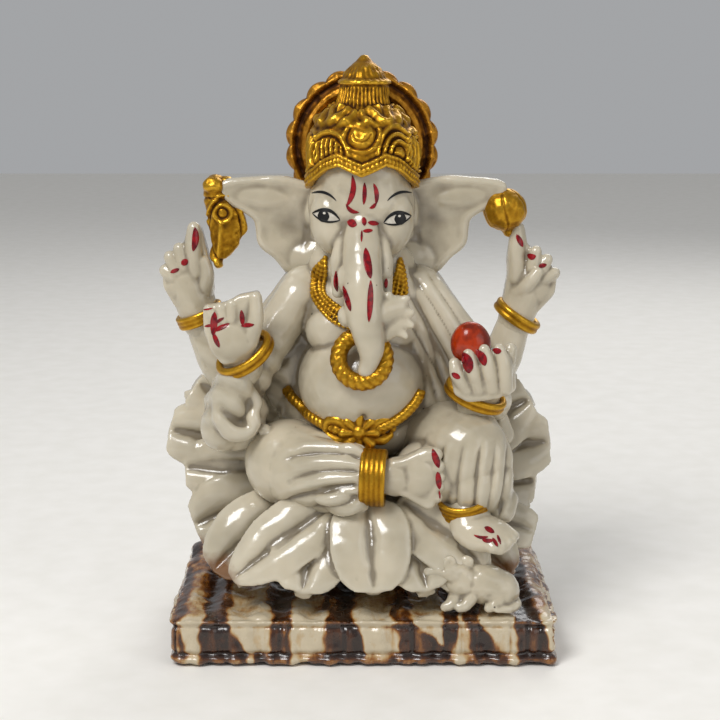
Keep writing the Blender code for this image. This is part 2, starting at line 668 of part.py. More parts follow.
def modak():
    """The sweet in the offering hand, resting on the palm."""
    palm = arm_points(LEFT, "lower")[2] + Vector((-1.2 * MM, -2 * MM, 2.5 * MM))
    centre = palm + Vector((0, 0, 5.4 * MM + MODAK_HEIGHT * 0.32))
    return fused([ball(centre, (MODAK_RADIUS, MODAK_RADIUS, MODAK_HEIGHT / 2))], 110, 0.8 * MM)


def axe():
    """The gilded axe blade that the upper right hand holds against the ear."""
    palm = arm_points(RIGHT, "upper")[2] + Vector((-2.5 * MM, 0, 9 * MM))
    half = AXE_LENGTH / 2
    centre = palm + Vector((PALM_WIDTH * 0.72, -1.5 * MM, 13.5 * MM))
    lumps = [ball(centre, (AXE_WIDTH / 2, 2.6 * MM, half * 0.9), (0, 6, 0)),
             ball(centre + Vector((-1.2 * MM, 0, half * 0.72)), (AXE_WIDTH * 0.44, 2.8 * MM, half * 0.3)),
             ball(centre + Vector((0.6 * MM, 0, -half * 0.6)), (AXE_WIDTH * 0.22, 2 * MM, half * 0.4))]
    return fused(lumps, 120, 0.8 * MM)


def lotus_bud():
    """The gilded bud on the first finger of the upper left hand."""
    palm = arm_points(LEFT, "upper")[2] + Vector((2.5 * MM, 0, 9 * MM))
    centre = palm + Vector((-PALM_WIDTH * 0.44, -1.2 * MM, 12.4 * MM + BUD_RADIUS * 0.8))
    lumps = [ball(centre, (BUD_RADIUS, BUD_RADIUS * 0.9, BUD_RADIUS))]
    lumps += limb([(centre, BUD_RADIUS * 0.6), (centre - Vector((-1.2 * MM, 0, BUD_RADIUS * 1.1)), BUD_RADIUS * 0.3)])
    return fused(lumps, 110, 0.8 * MM)


# ---- Cloth and jewellery -------------------------------------------------------------------
def shawl():
    """Folds of cloth from the left shoulder down to the raised knee."""
    top = CHEST + Vector((CHEST_WIDTH * 0.34, 0, CHEST_HEIGHT * 0.5))
    knee = leg_points(LEFT)[1]
    foot_of_fold = Vector((knee.x, 2 * MM, knee.z + LEG_RADIUS * 0.7))
    lumps = []
    for i in range(5):
        share = i / 4
        start = top + Vector((share * 7 * MM, share * 2 * MM, -share * 3 * MM))
        end = foot_of_fold + Vector(((share - 0.7) * 16 * MM, 0, 0))
        middle = (start + end) / 2 + Vector((2.5 * MM * share, -1.5 * MM, 0))
        lumps += limb([(start, 3.2 * MM), (middle, 4 * MM), (end, 3.6 * MM)])
    return fused(lumps, 220, 1.0 * MM, 4)


def on_egg(centre, radii, turn, rise, proud):
    """A point on an egg's skin: turn from the front, rise above level, in degrees."""
    a, e = math.radians(turn), math.radians(rise)
    way = Vector((math.sin(a) * math.cos(e), -math.cos(a) * math.cos(e), math.sin(e)))
    return centre + way * radii + way * proud


def belt():
    stations = []
    for i in range(9):
        turn = -112 + 28 * i
        rise = -38 + 40 * (turn / 112) ** 2
        stations.append((on_egg(BELLY, BELLY_RADII, turn, rise, BELT_WIRE * 0.3), BELT_WIRE))
    return fused(limb(stations), 200, 0.7 * MM, 2)


def buckle():
    centre = on_egg(BELLY, BELLY_RADII, 0, -36, BELT_WIRE * 0.6)
    half = Vector((BUCKLE_WIDTH / 2, 2.4 * MM, BUCKLE_HEIGHT / 2))
    lumps = [ball(centre, (half.x, half.y, half.z * 0.8), (-25, 0, 0))]
    for x, z in ((-0.62, 0.15), (0.62, 0.15), (0, -0.62), (0, 0.5), (-0.3, -0.25), (0.3, -0.25)):
        knob = centre + Vector((x * half.x, -1 * MM, z * half.z))
        lumps.append(ball(knob, (half.x * 0.34, 2.2 * MM, half.z * 0.45)))
    return fused(lumps, 160, 0.7 * MM, 3)


def necklace():
    """A thick collar that hangs from the neck on the chest and belly, open at the nape."""
    stations = []
    for i in range(9):
        turn = -100 + 25 * i
        level = 4 + 62 * abs(turn / 100) ** 1.6
        stations.append((on_egg(CHEST, CHEST_RADII * 0.78, turn * 0.8, level - 14, 4.4 * MM), NECKLACE_WIRE))
    return fused(limb(stations), 200, 0.8 * MM, 2)


def pendant_ring():
    centre = on_egg(BELLY, BELLY_RADII, 0, 34, PENDANT_WIRE * 0.8)
    return fused([ring(centre, (0, -0.85, 0.5), PENDANT_RADIUS, PENDANT_WIRE)], 200, 0.7 * MM, 1)


# ---- Mouse ---------------------------------------------------------------------------------
def mouse():
    """The mouse lying on the block before the lotus, with its head to the figure's right."""
    ground = BASE_HEIGHT - BASE_SLOPE + MOUSE_RADIUS
    rump = Vector((BASE_WIDTH * 0.33, -BASE_DEPTH * 0.36, ground))
    nose = rump - Vector((MOUSE_LENGTH * 0.68, 1 * MM, -4 * MM))
    lumps = [ball(rump, (MOUSE_RADIUS * 1.2, MOUSE_RADIUS * 0.9, MOUSE_RADIUS))]
    lumps += limb([(rump, MOUSE_RADIUS), ((rump + nose) / 2, MOUSE_RADIUS * 0.75), (nose, MOUSE_RADIUS * 0.5)])
    lumps.append(ball(nose, (3.4 * MM, 2.6 * MM, 2.8 * MM)))
    for share in (0.28, 0.45):
        lumps.append(ball(nose.lerp(rump, share) + Vector((0, -0.5 * MM, 3.2 * MM)), [1.7 * MM] * 3))
    for share in (0.1, 0.8):
        paw = nose.lerp(rump, share)
        paw.z = BASE_HEIGHT - BASE_SLOPE + 1.4 * MM
        lumps.append(ball(paw + Vector((0, -2 * MM, 0)), (2.6 * MM, 1.6 * MM, 1.6 * MM)))
    return fused(lumps, 200, 0.8 * MM, 3)


# ---- Assembly ------------------------------------------------------------------------------
def main():
    for old in list(bpy.data.objects):
        bpy.data.objects.remove(old)
    idol = Assembly("ganesha_idol")
    white, gold = "white_resin", "gold_paint"
    idol.place("base_block", base_block(), "streaked_resin")
    idol.place("lotus_seat", lotus_seat(), white)
    idol.place("torso", torso(), white)
    idol.place("head", head(), white)
    idol.place("folded_leg", folded_leg(), white)
    idol.place("raised_leg", raised_leg(), white)
    idol.place("trunk", trunk(), white)
    idol.place("trunk_curl", trunk_curl(), white)
    idol.place("crown", crown(), gold)
    idol.place("halo", halo(), gold)
    idol.place("halo_ring", halo_ring(), gold)
    for name, side in SIDES.items():
        idol.place(f"{name}_tusk", tusk(side), white)
        idol.place(f"{name}_ear", ear(side), white)
        for level in ("upper", "lower"):
            idol.place(f"{level}_{name}_arm", arm(side, level), white)
    idol.place("upper_right_hand", upper_hand(RIGHT), white)
    idol.place("upper_left_hand", upper_hand(LEFT), white)
    idol.place("lower_right_hand", blessing_hand(), white)
    idol.place("lower_left_hand", offering_hand(), white)
    idol.place("folded_foot", folded_foot(), white)
    idol.place("raised_foot", raised_foot(), white)
    idol.place("shawl", shawl(), white)
    for name, side in SIDES.items():
        for level in ("upper", "lower"):
            idol.place(f"{level}_{name}_bangle", bangle(side, level), gold)
    ankle = leg_points(RIGHT)[2]
    idol.place("folded_anklet", anklet(ankle + Vector((1 * MM, 0, 0)), (1, -0.1, 0), ANKLE_RADIUS, 1.3 * MM), gold)
    ankle = leg_points(LEFT)[2]
    idol.place("raised_anklet", anklet(ankle, (0.25, -0.45, -0.9), ANKLE_RADIUS, 1.2 * MM), gold)
    idol.place("belt", belt(), gold)
    idol.place("belt_buckle", buckle(), gold)
    idol.place("necklace", necklace(), gold)
    idol.place("pendant_ring", pendant_ring(), gold)
    idol.place("axe", axe(), gold)
    idol.place("lotus_bud", lotus_bud(), gold)
    idol.place("modak", modak(), "orange_paint")
    idol.place("mouse", mouse(), white)
    upper_row = ((1.5, 2.5, 1.37), (-17, -40, 1.5), (23, 41, 1.47))
    for i, (root_angle, tip_angle, reach) in enumerate(upper_row, 1):
        idol.place(f"front_petal_{i}", skirt_petal(root_angle, tip_angle, reach, 0), white)
    lower_row = ((-17, -16.5, 1.42), (18, 19.5, 1.4), (-50, -70, 1.32), (50, 70, 1.32))
    for i, (root_angle, tip_angle, reach) in enumerate(lower_row, 4):
        idol.place(f"front_petal_{i}", skirt_petal(root_angle, tip_angle, reach, 1), white)
    for name, side in SIDES.items():
        for i, (rise, reach, depth) in enumerate(
            ((48, 0.85, 9), (23, 1.02, 7), (4, 0.8, 4), (-22, 0.75, 2)), 1
        ):
            idol.place(f"{name}_petal_{i}", back_petal(side, rise, reach, depth * MM), white)
    for i, angle in enumerate((140, 180, 220), 1):
        idol.place(f"rear_petal_{i}", rear_petal(angle), white)


main()
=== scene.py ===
"""Ganesha idol: a glossy cream resin figure with gold, red, black and orange paint.

Run as a script, it models the idol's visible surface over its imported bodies, one operator for each
group of castings, and lights it on a pale floor.  The figure faces -Y and its right side is at -X.
"""

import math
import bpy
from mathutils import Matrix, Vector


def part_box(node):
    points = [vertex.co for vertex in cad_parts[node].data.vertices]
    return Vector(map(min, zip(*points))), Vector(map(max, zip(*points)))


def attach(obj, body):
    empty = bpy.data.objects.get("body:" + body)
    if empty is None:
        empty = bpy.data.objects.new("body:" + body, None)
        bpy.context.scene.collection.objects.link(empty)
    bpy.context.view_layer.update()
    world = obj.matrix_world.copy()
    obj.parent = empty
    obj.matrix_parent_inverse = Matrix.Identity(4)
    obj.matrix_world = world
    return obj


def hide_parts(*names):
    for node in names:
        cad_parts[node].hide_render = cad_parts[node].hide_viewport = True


bl_info = {
    "name": "Ganesha Idol",
    "version": (1, 0, 0),
    "blender": (4, 5, 0),
    "location": "View3D > Sidebar > Idol",
    "description": "Models a small painted resin idol piece by piece",
    "category": "Add Mesh",
}

import bmesh
import bpy
import numpy as np
from bpy.props import FloatProperty, FloatVectorProperty, PointerProperty
from mathutils import Matrix, Vector
from mathutils.bvhtree import BVHTree

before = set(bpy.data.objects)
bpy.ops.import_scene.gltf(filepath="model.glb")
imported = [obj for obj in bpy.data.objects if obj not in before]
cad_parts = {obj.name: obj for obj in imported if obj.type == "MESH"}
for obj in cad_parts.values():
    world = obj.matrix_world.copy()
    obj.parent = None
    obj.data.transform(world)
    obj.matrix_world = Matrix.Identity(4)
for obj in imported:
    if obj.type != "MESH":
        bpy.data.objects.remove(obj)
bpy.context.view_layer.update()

MM = 0.001
RIGHT, LEFT = -1, 1  # the figure's own sides
BODY = "root"


def v(*numbers):
    """A vector of those numbers."""
    return Vector(numbers)


def centre(node):
    """The middle of a packed casting, in millimetres."""
    low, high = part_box(node)
    return (Vector(low) + Vector(high)) / 2 / MM


def corner(node, *shares):
    """A point of a packed casting's box, in millimetres: 0 is its low side, and 1 its high side."""
    low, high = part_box(node)
    return Vector(a + (b - a) * share for a, b, share in zip(low, high, shares)) / MM


# ---- Clay: lumps made in millimetres -------------------------------------------------------
def ball(bm, middle, radii, turn=(0, 0, 0), fine=3):
    """An egg of those radii, turned by degrees about X, Y and Z."""
    radii = (radii,) * 3 if isinstance(radii, (int, float)) else radii
    place = Matrix.Translation(middle)
    for axis, degrees in zip("XYZ", turn):
        place = place @ Matrix.Rotation(math.radians(degrees), 4, axis)
    place = place @ Matrix.Diagonal((*radii, 1))
    bmesh.ops.create_icosphere(bm, subdivisions=fine, radius=1, matrix=place)


def smooth_path(stations, steps):
    """Points and sizes on a smooth curve through the stations, each a point and its sizes."""
    rows = [np.array([*point, *np.resize(size, 2)], float) for point, size in stations]
    rows = [2 * rows[0] - rows[1], *rows, 2 * rows[-1] - rows[-2]]
    path = []
    for a, b, c, d in zip(rows, rows[1:], rows[2:], rows[3:]):
        for t in np.arange(steps) / steps:
            path.append(0.5 * (2 * b + (c - a) * t + (2 * a - 5 * b + 4 * c - d) * t**2
                               + (3 * b - a - 3 * c + d) * t**3))
    path.append(rows[-2])
    return [(Vector(row[:3]), np.maximum(row[3:], 0.05)) for row in path]


def ring_frames(path, closed):
    """A frame for each ring of a tube, carried along it without twist."""
    frames, side = [], None
    for i, (point, size) in enumerate(path):
        before = path[i - 1][0] if i or closed else point
        after = path[(i + 1) % len(path)][0] if i + 1 < len(path) or closed else point
        along = (after - before).normalized()
        if side is None:
            side = along.cross(v(0, 0, 1)) if abs(along.z) < 0.9 else v(1, 0, 0)
        side = (side - along * side.dot(along)).normalized()
        turned = Matrix((side * size[0], along.cross(side) * size[-1], along)).transposed()
        frames.append(Matrix.Translation(point) @ turned.to_4x4())
    return frames


def limb(bm, stations, sides=20, steps=6, closed=False):
    """A round-ended tube through the stations; a station's second size makes it oval."""
    if closed:
        path = smooth_path([stations[-1], *stations, stations[0], stations[1]], steps)
        path = path[steps:-2 * steps]
    else:
        path = smooth_path(stations, steps)
        (first, wide), (last, narrow) = path[0], path[-1]
        lead = (first - path[1][0]).normalized() * wide.min()
        tail = (last - path[-2][0]).normalized() * narrow.min()
        bends = [math.radians(a) for a in (15, 35, 60, 80)]
        path = ([(first + lead * math.sin(b), wide * math.cos(b)) for b in reversed(bends)] + path
                + [(last + tail * math.sin(b), narrow * math.cos(b)) for b in bends])
    loops = []
    for i, place in enumerate(ring_frames(path, closed)):
        cap = not closed and i in (0, len(path) - 1)
        made = bmesh.ops.create_circle(bm, cap_ends=cap, segments=sides, radius=1, matrix=place)
        loops.append(list({edge for vert in made["verts"] for edge in vert.link_edges}))
    for one, other in zip(loops, loops[1:] + (loops[:1] if closed else [])):
        bmesh.ops.bridge_loops(bm, edges=one + other)


def leaf(bm, root, tip, out, width, thick, bulge=2.0, crease=0.7, full=0.5, point=0.7, curl=0.0, wave=0.0):
    """A petal from root to tip: two lobes beside a crease, arched outward, and solid."""
    made = bmesh.ops.create_grid(bm, x_segments=24, y_segments=36, size=1)["verts"]
    length = (tip - root).length
    along = (tip - root).normalized()
    side = along.cross(out).normalized()
    face = side.cross(along).normalized()
    peak = full / (full + point)
    widest = peak**full * (1 - peak) ** point
    for vert in made:
        across, t = vert.co.x, 0.02 + 0.95 * (vert.co.y + 1) / 2
        half = width / 2 * (t**full * (1 - t) ** point) / widest
        lobes = math.sin(math.pi * min(1, abs(across))) - 1.3 * math.exp(-((across / 0.15) ** 2))
        height = bulge * 4 * t * (1 - t) + crease * lobes * math.sin(math.pi * t) ** 0.6
        height += curl * max(0, t - 0.75) ** 2 * 16 + wave * across**2 * math.sin(9 * t + 2 * across)
        vert.co = root + along * (t * length) + side * (across * half) + face * height
    faces = list({f for vert in made for f in vert.link_faces})
    bmesh.ops.recalc_face_normals(bm, faces=faces)
    bmesh.ops.solidify(bm, geom=faces, thickness=thick)


def mesh_object(name, bm):
    """Ends a bmesh as an object in the scene."""
    mesh = bpy.data.meshes.new(name)
    bm.to_mesh(mesh)
    bm.free()
    obj = bpy.data.objects.new(name, mesh)
    bpy.context.scene.collection.objects.link(obj)
    return obj


def evaluated(obj, name):
    """Replaces an object by the plain mesh that its modifiers make."""
    graph = bpy.context.evaluated_depsgraph_get()
    mesh = bpy.data.meshes.new_from_object(obj.evaluated_get(graph))
    bpy.data.objects.remove(obj)
    made = bpy.data.objects.new(name, mesh)
    bpy.context.scene.collection.objects.link(made)
    return made


def cast(name, bm, grain=0.42, smoothing=4):
    """One skin over all the lumps, soft where they meet, still in millimetres."""
    lumps = mesh_object(name + "_lumps", bm)
    remesh = lumps.modifiers.new("one_skin", "REMESH")
    remesh.mode = "VOXEL"
    remesh.voxel_size = grain
    soften = lumps.modifiers.new("fillets", "SMOOTH")
    soften.iterations = smoothing
    return evaluated(lumps, name)


# ---- Carving: moves the skin's points in or out --------------------------------------------
def points_of(obj):
    """A mesh's points and the way each faces, one row for each."""
    mesh = obj.data
    spots = np.empty(len(mesh.vertices) * 3)
    mesh.vertices.foreach_get("co", spots)
    ways = np.empty(len(mesh.vertices) * 3)
    mesh.vertex_normals.foreach_get("vector", ways)
    return spots.reshape(-1, 3), ways.reshape(-1, 3)


def move_points(obj, spots):
    """Puts a mesh's points at those spots."""
    obj.data.vertices.foreach_set("co", np.ascontiguousarray(spots, dtype=np.float32).ravel())
    obj.data.update()


def carve(obj, depth):
    """Moves each point out by depth(x, y, z, outward), which is in millimetres."""
    spots, ways = points_of(obj)
    move_points(obj, spots + ways * depth(*spots.T, ways)[:, None])


def ease(x, low, high):
    """0 below low, 1 above high, and smooth between."""
    t = np.clip((x - low) / (high - low), 0, 1)
    return t * t * (3 - 2 * t)


def near(x, middle, width):
    """A soft bump of height 1 around middle."""
    return np.exp(-(((x - middle) / width) ** 2))


def grit(x, y, z, size, seed=0):
    """Smooth noise from -1 to 1 whose lumps are about that size in millimetres."""
    spot = np.stack([x, y, z]) / size + seed * 17.3
    cell = np.floor(spot).astype(np.int64)
    part = spot - cell
    part = part * part * (3 - 2 * part)
    total = 0
    for corner_x in (0, 1):
        for corner_y in (0, 1):
            for corner_z in (0, 1):
                key = ((cell[0] + corner_x) * 73856093 ^ (cell[1] + corner_y) * 19349663
                       ^ (cell[2] + corner_z) * 83492791)
                key = (key ^ (key >> 13)) * 1274126177 & 0x7FFFFFFF
                value = (key % 65536) / 32767.5 - 1
                weight = 1
                for share, low in zip(part, (corner_x, corner_y, corner_z)):
                    weight = weight * (share if low else 1 - share)
                total = total + value * weight
    return total


def neighbour_mean(values, edges, count):
    """The mean of each point's neighbours along the edges."""
    total = np.zeros_like(values)
    for one, other in ((0, 1), (1, 0)):
        for axis in range(values.shape[1]):
            total[:, axis] += np.bincount(edges[:, one], values[edges[:, other], axis], len(values))
    return total / count[:, None]


def mark_hollows(obj, rounds=14, gain=1.0, wide_gain=0.16):
    """Stores how deep each point lies in a crease, 0.5 on the flat, for dirt and painted shade."""
    spots, ways = points_of(obj)
    edges = np.empty(len(obj.data.edges) * 2, dtype=np.int64)
    obj.data.edges.foreach_get("vertices", edges)
    edges = edges.reshape(-1, 2)
    count = np.maximum(np.bincount(edges.ravel(), minlength=len(spots)), 1)
    mean, level = spots, np.full(len(spots), 0.5)
    for reach, strength in ((rounds, gain), (rounds * 6, wide_gain)):
        for _ in range(reach):
            mean = neighbour_mean(mean, edges, count)
        level += ((mean - spots) * ways).sum(axis=1) * strength
    store(obj, "hollow", np.clip(level, 0, 1))


def store(obj, name, values):
    """Stores a value for each point, for a finish to read."""
    layer = obj.data.attributes.new(name, "FLOAT", "POINT")
    layer.data.foreach_set("value", np.ascontiguousarray(values, dtype=np.float32))


def finish_piece(obj, material, nodes):
    """Brings a piece to metres, gives it its finish and lets it stand for its castings."""
    spots, _ = points_of(obj)
    move_points(obj, spots * MM)
    obj.data.shade_smooth()
    obj.data.materials.clear()
    obj.data.materials.append(material)
    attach(obj, BODY)
    if nodes:
        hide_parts(*nodes)
    return obj


# ---- Finishes ------------------------------------------------------------------------------
def linear(hex_colour):
    """An sRGB hex value as linear RGBA."""
    parts = [int(hex_colour[i:i + 2], 16) / 255 for i in (1, 3, 5)]
    return (*(p / 12.92 if p <= 0.04045 else ((p + 0.055) / 1.055) ** 2.4 for p in parts), 1.0)


def fill(tree, node, stops=(), **settings):
    """Sets a node's choices and inputs, and the stops of a colour ramp.

    A setting with a capital, or a number after "_", is an input: it takes a number, a hex colour
    or another node's output.  A stop is a place and a hex colour, a colour or a grey.
    """
    inputs = {key: value for key, value in settings.items() if key[0] == "_" or key[0].isupper()}
    for key in settings.keys() - inputs.keys():
        setattr(node, key, settings[key])
    for key, value in inputs.items():
        socket = node.inputs[int(key[1:]) if key[0] == "_" else key.replace("_", " ")]
        if isinstance(value, bpy.types.NodeSocket):
            tree.links.new(value, socket)
        else:
            socket.default_value = linear(value) if isinstance(value, str) else value
    if stops:
        points = node.color_ramp.elements
        points.remove(points[1])
        for i, (place, colour) in enumerate(stops):
            point = points.new(place) if i else points[0]
            point.position = place
            if isinstance(colour, str):
                colour = linear(colour)
            point.color = (colour,) * 3 + (1,) if isinstance(colour, (int, float)) else (*colour, 1)[:4]
    return node


def add(tree, kind, out=0, stops=(), **settings):
    """Adds a node with its settings and links, and gives one of its outputs."""
    return fill(tree, tree.nodes.new("ShaderNode" + kind), stops, **settings).outputs[out]


def start_finish(name):
    """A new material: its tree, its shader and the piece's own coordinates."""
    made = bpy.data.materials.new(name)
    made.use_nodes = True
    tree = made.node_tree
    return made, tree, tree.nodes["Principled BSDF"], add(tree, "TexCoord", out="Object")


def per_mm(size):
    """The scale of a pattern whose lumps are that many millimetres across."""
    return 1 / (size * MM)


def cast_resin():
    """Polyester resin with marble dust, cast in a rubber mould and lacquered.

    The eye sees a cream that light sinks into a little, a wet gloss, soft lumps from the mould, grey-brown
    in the creases that is partly dirt and partly painted shade, paler ridges and a few black specks.
    """
    made, tree, shader, place = start_finish("marble_resin_cast_lacquered")
    colours = bpy.context.scene.idol_colours
    hollow = add(tree, "Attribute", out="Fac", attribute_name="hollow")
    stain = add(tree, "Attribute", out="Fac", attribute_name="stain")
    broad = add(tree, "TexNoise", Vector=place, Scale=per_mm(14), Detail=3.0)
    fine = add(tree, "TexNoise", Vector=place, Scale=per_mm(2.6), Detail=4.0)
    # Both creams are darker than the resin's own colour: painted shade, for the shade the whole figure sits
    # in.
    cream = add(tree, "ValToRGB", Fac=broad, stops=((0.35, "#aba18b"), (0.65, colours.cream)))
    patchy = add(tree, "Math", operation="MULTIPLY_ADD", _0=fine, _1=0.2, _2=hollow)
    # Dirt and painted shade: the creases are darkened towards grey-brown by how hollow they lie.
    grime_and_shade = add(tree, "ValToRGB", Fac=patchy, stops=((0.57, 0.0), (0.84, colours.grime_and_shade_strength)))
    base = add(tree, "Mix", out=2, data_type="RGBA", Factor=grime_and_shade, _6=cream, _7=(*colours.grime_and_shade, 1))
    # The ridges are drawn a paler cream.
    paler_on_ridges = add(tree, "ValToRGB", Fac=hollow, stops=((0.16, 0.3), (0.4, 0.0)))
    base = add(tree, "Mix", out=2, data_type="RGBA", Factor=paler_on_ridges, _6=base, _7="#d2cbb9")
    wiped = add(tree, "Math", operation="MULTIPLY_ADD", _0=fine, _1=0.5, _2=stain)
    brown = add(tree, "ValToRGB", Fac=wiped, stops=((0.5, 0.0), (0.95, 0.9)))
    base = add(tree, "Mix", out=2, data_type="RGBA", Factor=brown, _6=base, _7="#74491f")
    cells = tree.nodes.new("ShaderNodeTexVoronoi")
    fill(tree, cells, Vector=place, Scale=per_mm(5.0))
    dots = add(tree, "ValToRGB", Fac=cells.outputs["Distance"], stops=((0.035, 1.0), (0.06, 0.0)))
    few = add(tree, "ValToRGB", Fac=cells.outputs["Color"], stops=((0.56, 0.0), (0.6, 0.85)))
    specks = add(tree, "Math", operation="MULTIPLY", _0=dots, _1=few)
    base = add(tree, "Mix", out=2, data_type="RGBA", Factor=specks, _6=base, _7="#2b241b")
    gloss = add(tree, "ValToRGB", Fac=fine, stops=((0.3, 0.12), (0.7, 0.26)))
    swell = add(tree, "TexNoise", Vector=place, Scale=per_mm(4.5), Detail=2.0)
    pits = add(tree, "TexNoise", Vector=place, Scale=per_mm(1.1), Detail=3.0)
    lumpy = add(tree, "Bump", Height=swell, Distance=0.16 * MM)
    skin = add(tree, "Bump", Height=pits, Distance=0.025 * MM, Normal=lumpy)
    fill(tree, shader, Base_Color=base, Roughness=gloss, Normal=skin, IOR=1.5,
         Subsurface_Weight=0.15, Subsurface_Radius=(1.0, 0.8, 0.6), Subsurface_Scale=1.2 * MM,
         Coat_Weight=0.4, Coat_Roughness=0.06)
    return made


def bronze_paint(name, light, mid, dark, rough):
    """Bronze-powder paint brushed over relief.

    The eye sees bright metal on the ridges, dark brown in the cuts that is partly brown paste and partly
    painted shade, and the powder's glitter.
    """
    made, tree, shader, place = start_finish(name)
    hollow = add(tree, "Attribute", out="Fac", attribute_name="hollow")
    cloudy = add(tree, "TexNoise", Vector=place, Scale=per_mm(1.8), Detail=4.0)
    height = add(tree, "Math", operation="MULTIPLY_ADD", _0=cloudy, _1=0.36, _2=hollow)
    # Brown paste and painted shade: the tone darkens from light to dark by how hollow a point lies.
    tone = add(tree, "ValToRGB", Fac=height, stops=((0.34, light), (0.68, mid), (0.98, dark)))
    # Real flakes are near 0.05 mm; these are drawn as coarse as a close view can show.
    powder = add(tree, "TexVoronoi", out="Color", Vector=place, Scale=per_mm(0.4))
    flakes = add(tree, "ValToRGB", Fac=powder, stops=((0.0, 0.7), (1.0, 1.0)))
    base = add(tree, "Mix", out=2, data_type="RGBA", blend_type="MULTIPLY", Factor=0.6, _6=tone, _7=flakes)
    dull = add(tree, "ValToRGB", Fac=height, stops=((0.5, rough), (1.0, 0.62)))
    brush = add(tree, "TexNoise", Vector=place, Scale=per_mm(0.9), Detail=4.0)
    coat = add(tree, "Bump", Height=brush, Distance=0.06 * MM)
    glitter = add(tree, "Bump", Height=powder, Distance=0.014 * MM, Normal=coat)
    fill(tree, shader, Base_Color=base, Roughness=dull, Normal=glitter, Metallic=0.85)
    return made


def enamel(name, colour, deep, rough=0.24, pool=1.2, coat=0.15):
    """Gloss enamel put on with a small brush.

    The eye sees a strong colour that pools darker, over a thin coat with brush ridges.
    """
    made, tree, shader, place = start_finish(name)
    pooled = add(tree, "TexNoise", Vector=place, Scale=per_mm(pool), Detail=4.0)
    tone = add(tree, "ValToRGB", Fac=pooled, stops=((0.38, deep), (0.6, colour)))
    ridges = add(tree, "TexNoise", Vector=place, Scale=per_mm(0.8), Detail=3.0)
    bumpy = add(tree, "Bump", Height=ridges, Distance=0.03 * MM)
    fill(tree, shader, Base_Color=tone, Roughness=rough, Normal=bumpy, Specular_IOR_Level=0.35,
         Coat_Weight=coat, Coat_Roughness=0.1)
    return made


def stained_block():
    """The same resin wiped with walnut stain and lacquered.

    The eye sees dark bands where the stain was left, hairs from the brush that dragged it, and
    bare cream on the swellings between.
    """
    made, tree, shader, place = start_finish("marble_resin_walnut_stained")
    stain = add(tree, "Attribute", out="Fac", attribute_name="stain")
    hollow = add(tree, "Attribute", out="Fac", attribute_name="hollow")
    patches = add(tree, "TexNoise", Vector=place, Scale=per_mm(3.2), Detail=5.0, Roughness=0.6)
    drawn_out = add(tree, "Mapping", Vector=place, Scale=(1.0, 0.35, 0.35))
    hairs = add(tree, "TexNoise", Vector=drawn_out, Scale=per_mm(0.8), Detail=3.0)
    tone = add(tree, "Math", operation="MULTIPLY_ADD", _0=patches, _1=0.55, _2=stain)
    tone = add(tree, "Math", operation="MULTIPLY_ADD", _0=hairs, _1=0.4, _2=tone)
    tone = add(tree, "Math", operation="MULTIPLY_ADD", _0=hollow, _1=0.8, _2=tone)
    # The mean of the three patterns is 0.875; what is left is the stain alone.
    tone = add(tree, "Math", operation="SUBTRACT", _0=tone, _1=0.875)
    walnut = (*bpy.context.scene.idol_colours.walnut, 1)
    base = add(tree, "ValToRGB", Fac=tone, stops=(
        (0.06, "#c1b398"), (0.28, "#b3966a"), (0.46, "#8a5721"), (0.64, walnut), (0.95, "#210e04")))
    cells = add(tree, "TexVoronoi", Vector=place, Scale=per_mm(6.0))
    specks = add(tree, "ValToRGB", Fac=cells, stops=((0.03, 0.8), (0.05, 0.0)))
    base = add(tree, "Mix", out=2, data_type="RGBA", Factor=specks, _6=base, _7="#2b241b")
    gloss = add(tree, "ValToRGB", Fac=patches, stops=((0.3, 0.18), (0.7, 0.34)))
    swell = add(tree, "Bump", Height=patches, Distance=0.2 * MM)
    skin = add(tree, "Bump", Height=hairs, Distance=0.05 * MM, Normal=swell)
    fill(tree, shader, Base_Color=base, Roughness=gloss, Normal=skin, Coat_Weight=0.45, Coat_Roughness=0.12)
    return made


FINISHES = {}


def finish(name):
    """The finish of that name, made once."""
    colours = bpy.context.scene.idol_colours
    makers = {
        "resin": cast_resin,
        "gold": lambda: bronze_paint("bronze_powder_paint_bright", colours.gold, "#a47310", "#432506", 0.3),
        "old_gold": lambda: bronze_paint("bronze_powder_paint_aged", "#bd8426", "#8a560f", "#3a1d06", 0.42),
        "red": lambda: enamel("gloss_enamel_crimson", colours.red, "#5e0612"),
        "black": lambda: enamel("gloss_enamel_black", "#040404", "#090807", 0.4, coat=0.1),
        "white": lambda: enamel("gloss_enamel_white", "#cdc7bb", "#b8b1a3"),
        "orange": lambda: enamel("gloss_enamel_orange", colours.orange, "#6e1a01", 0.2, 3),
        "block": stained_block,
    }
    if name not in FINISHES:
        FINISHES[name] = makers[name]()
    return FINISHES[name]


# ---- Block ---------------------------------------------------------------------------------
LIP = 11.0  # the height of the ridge along the top of the block's front
PLINTH = 3.0  # the height of the ledge near its foot
BLOCK_TAPER = 0.97  # the depth of its top as a share of the depth of its foot
FRONT_DROP = 3.2  # how far its top slopes down to the front
BLOCK_ROUND = 2.6
# Where each band of stain starts and ends at the lip, then at the plinth, and how dark it is.
STREAKS = ((-44.5, -40.5, -44.5, -39.5, 0.62), (-36, -30, -36.5, -26, 0.78), (-21, -16, -20.5, -15.5, 0.8),
           (-9, -1, -9, 0, 0.82), (7, 11, 8, 19.5, 0.78), (18, 22, 17.5, 19.5, 0.7), (23, 26, 25, 31, 0.76),
           (33.5, 39.5, 34.5, 43.5, 0.78))


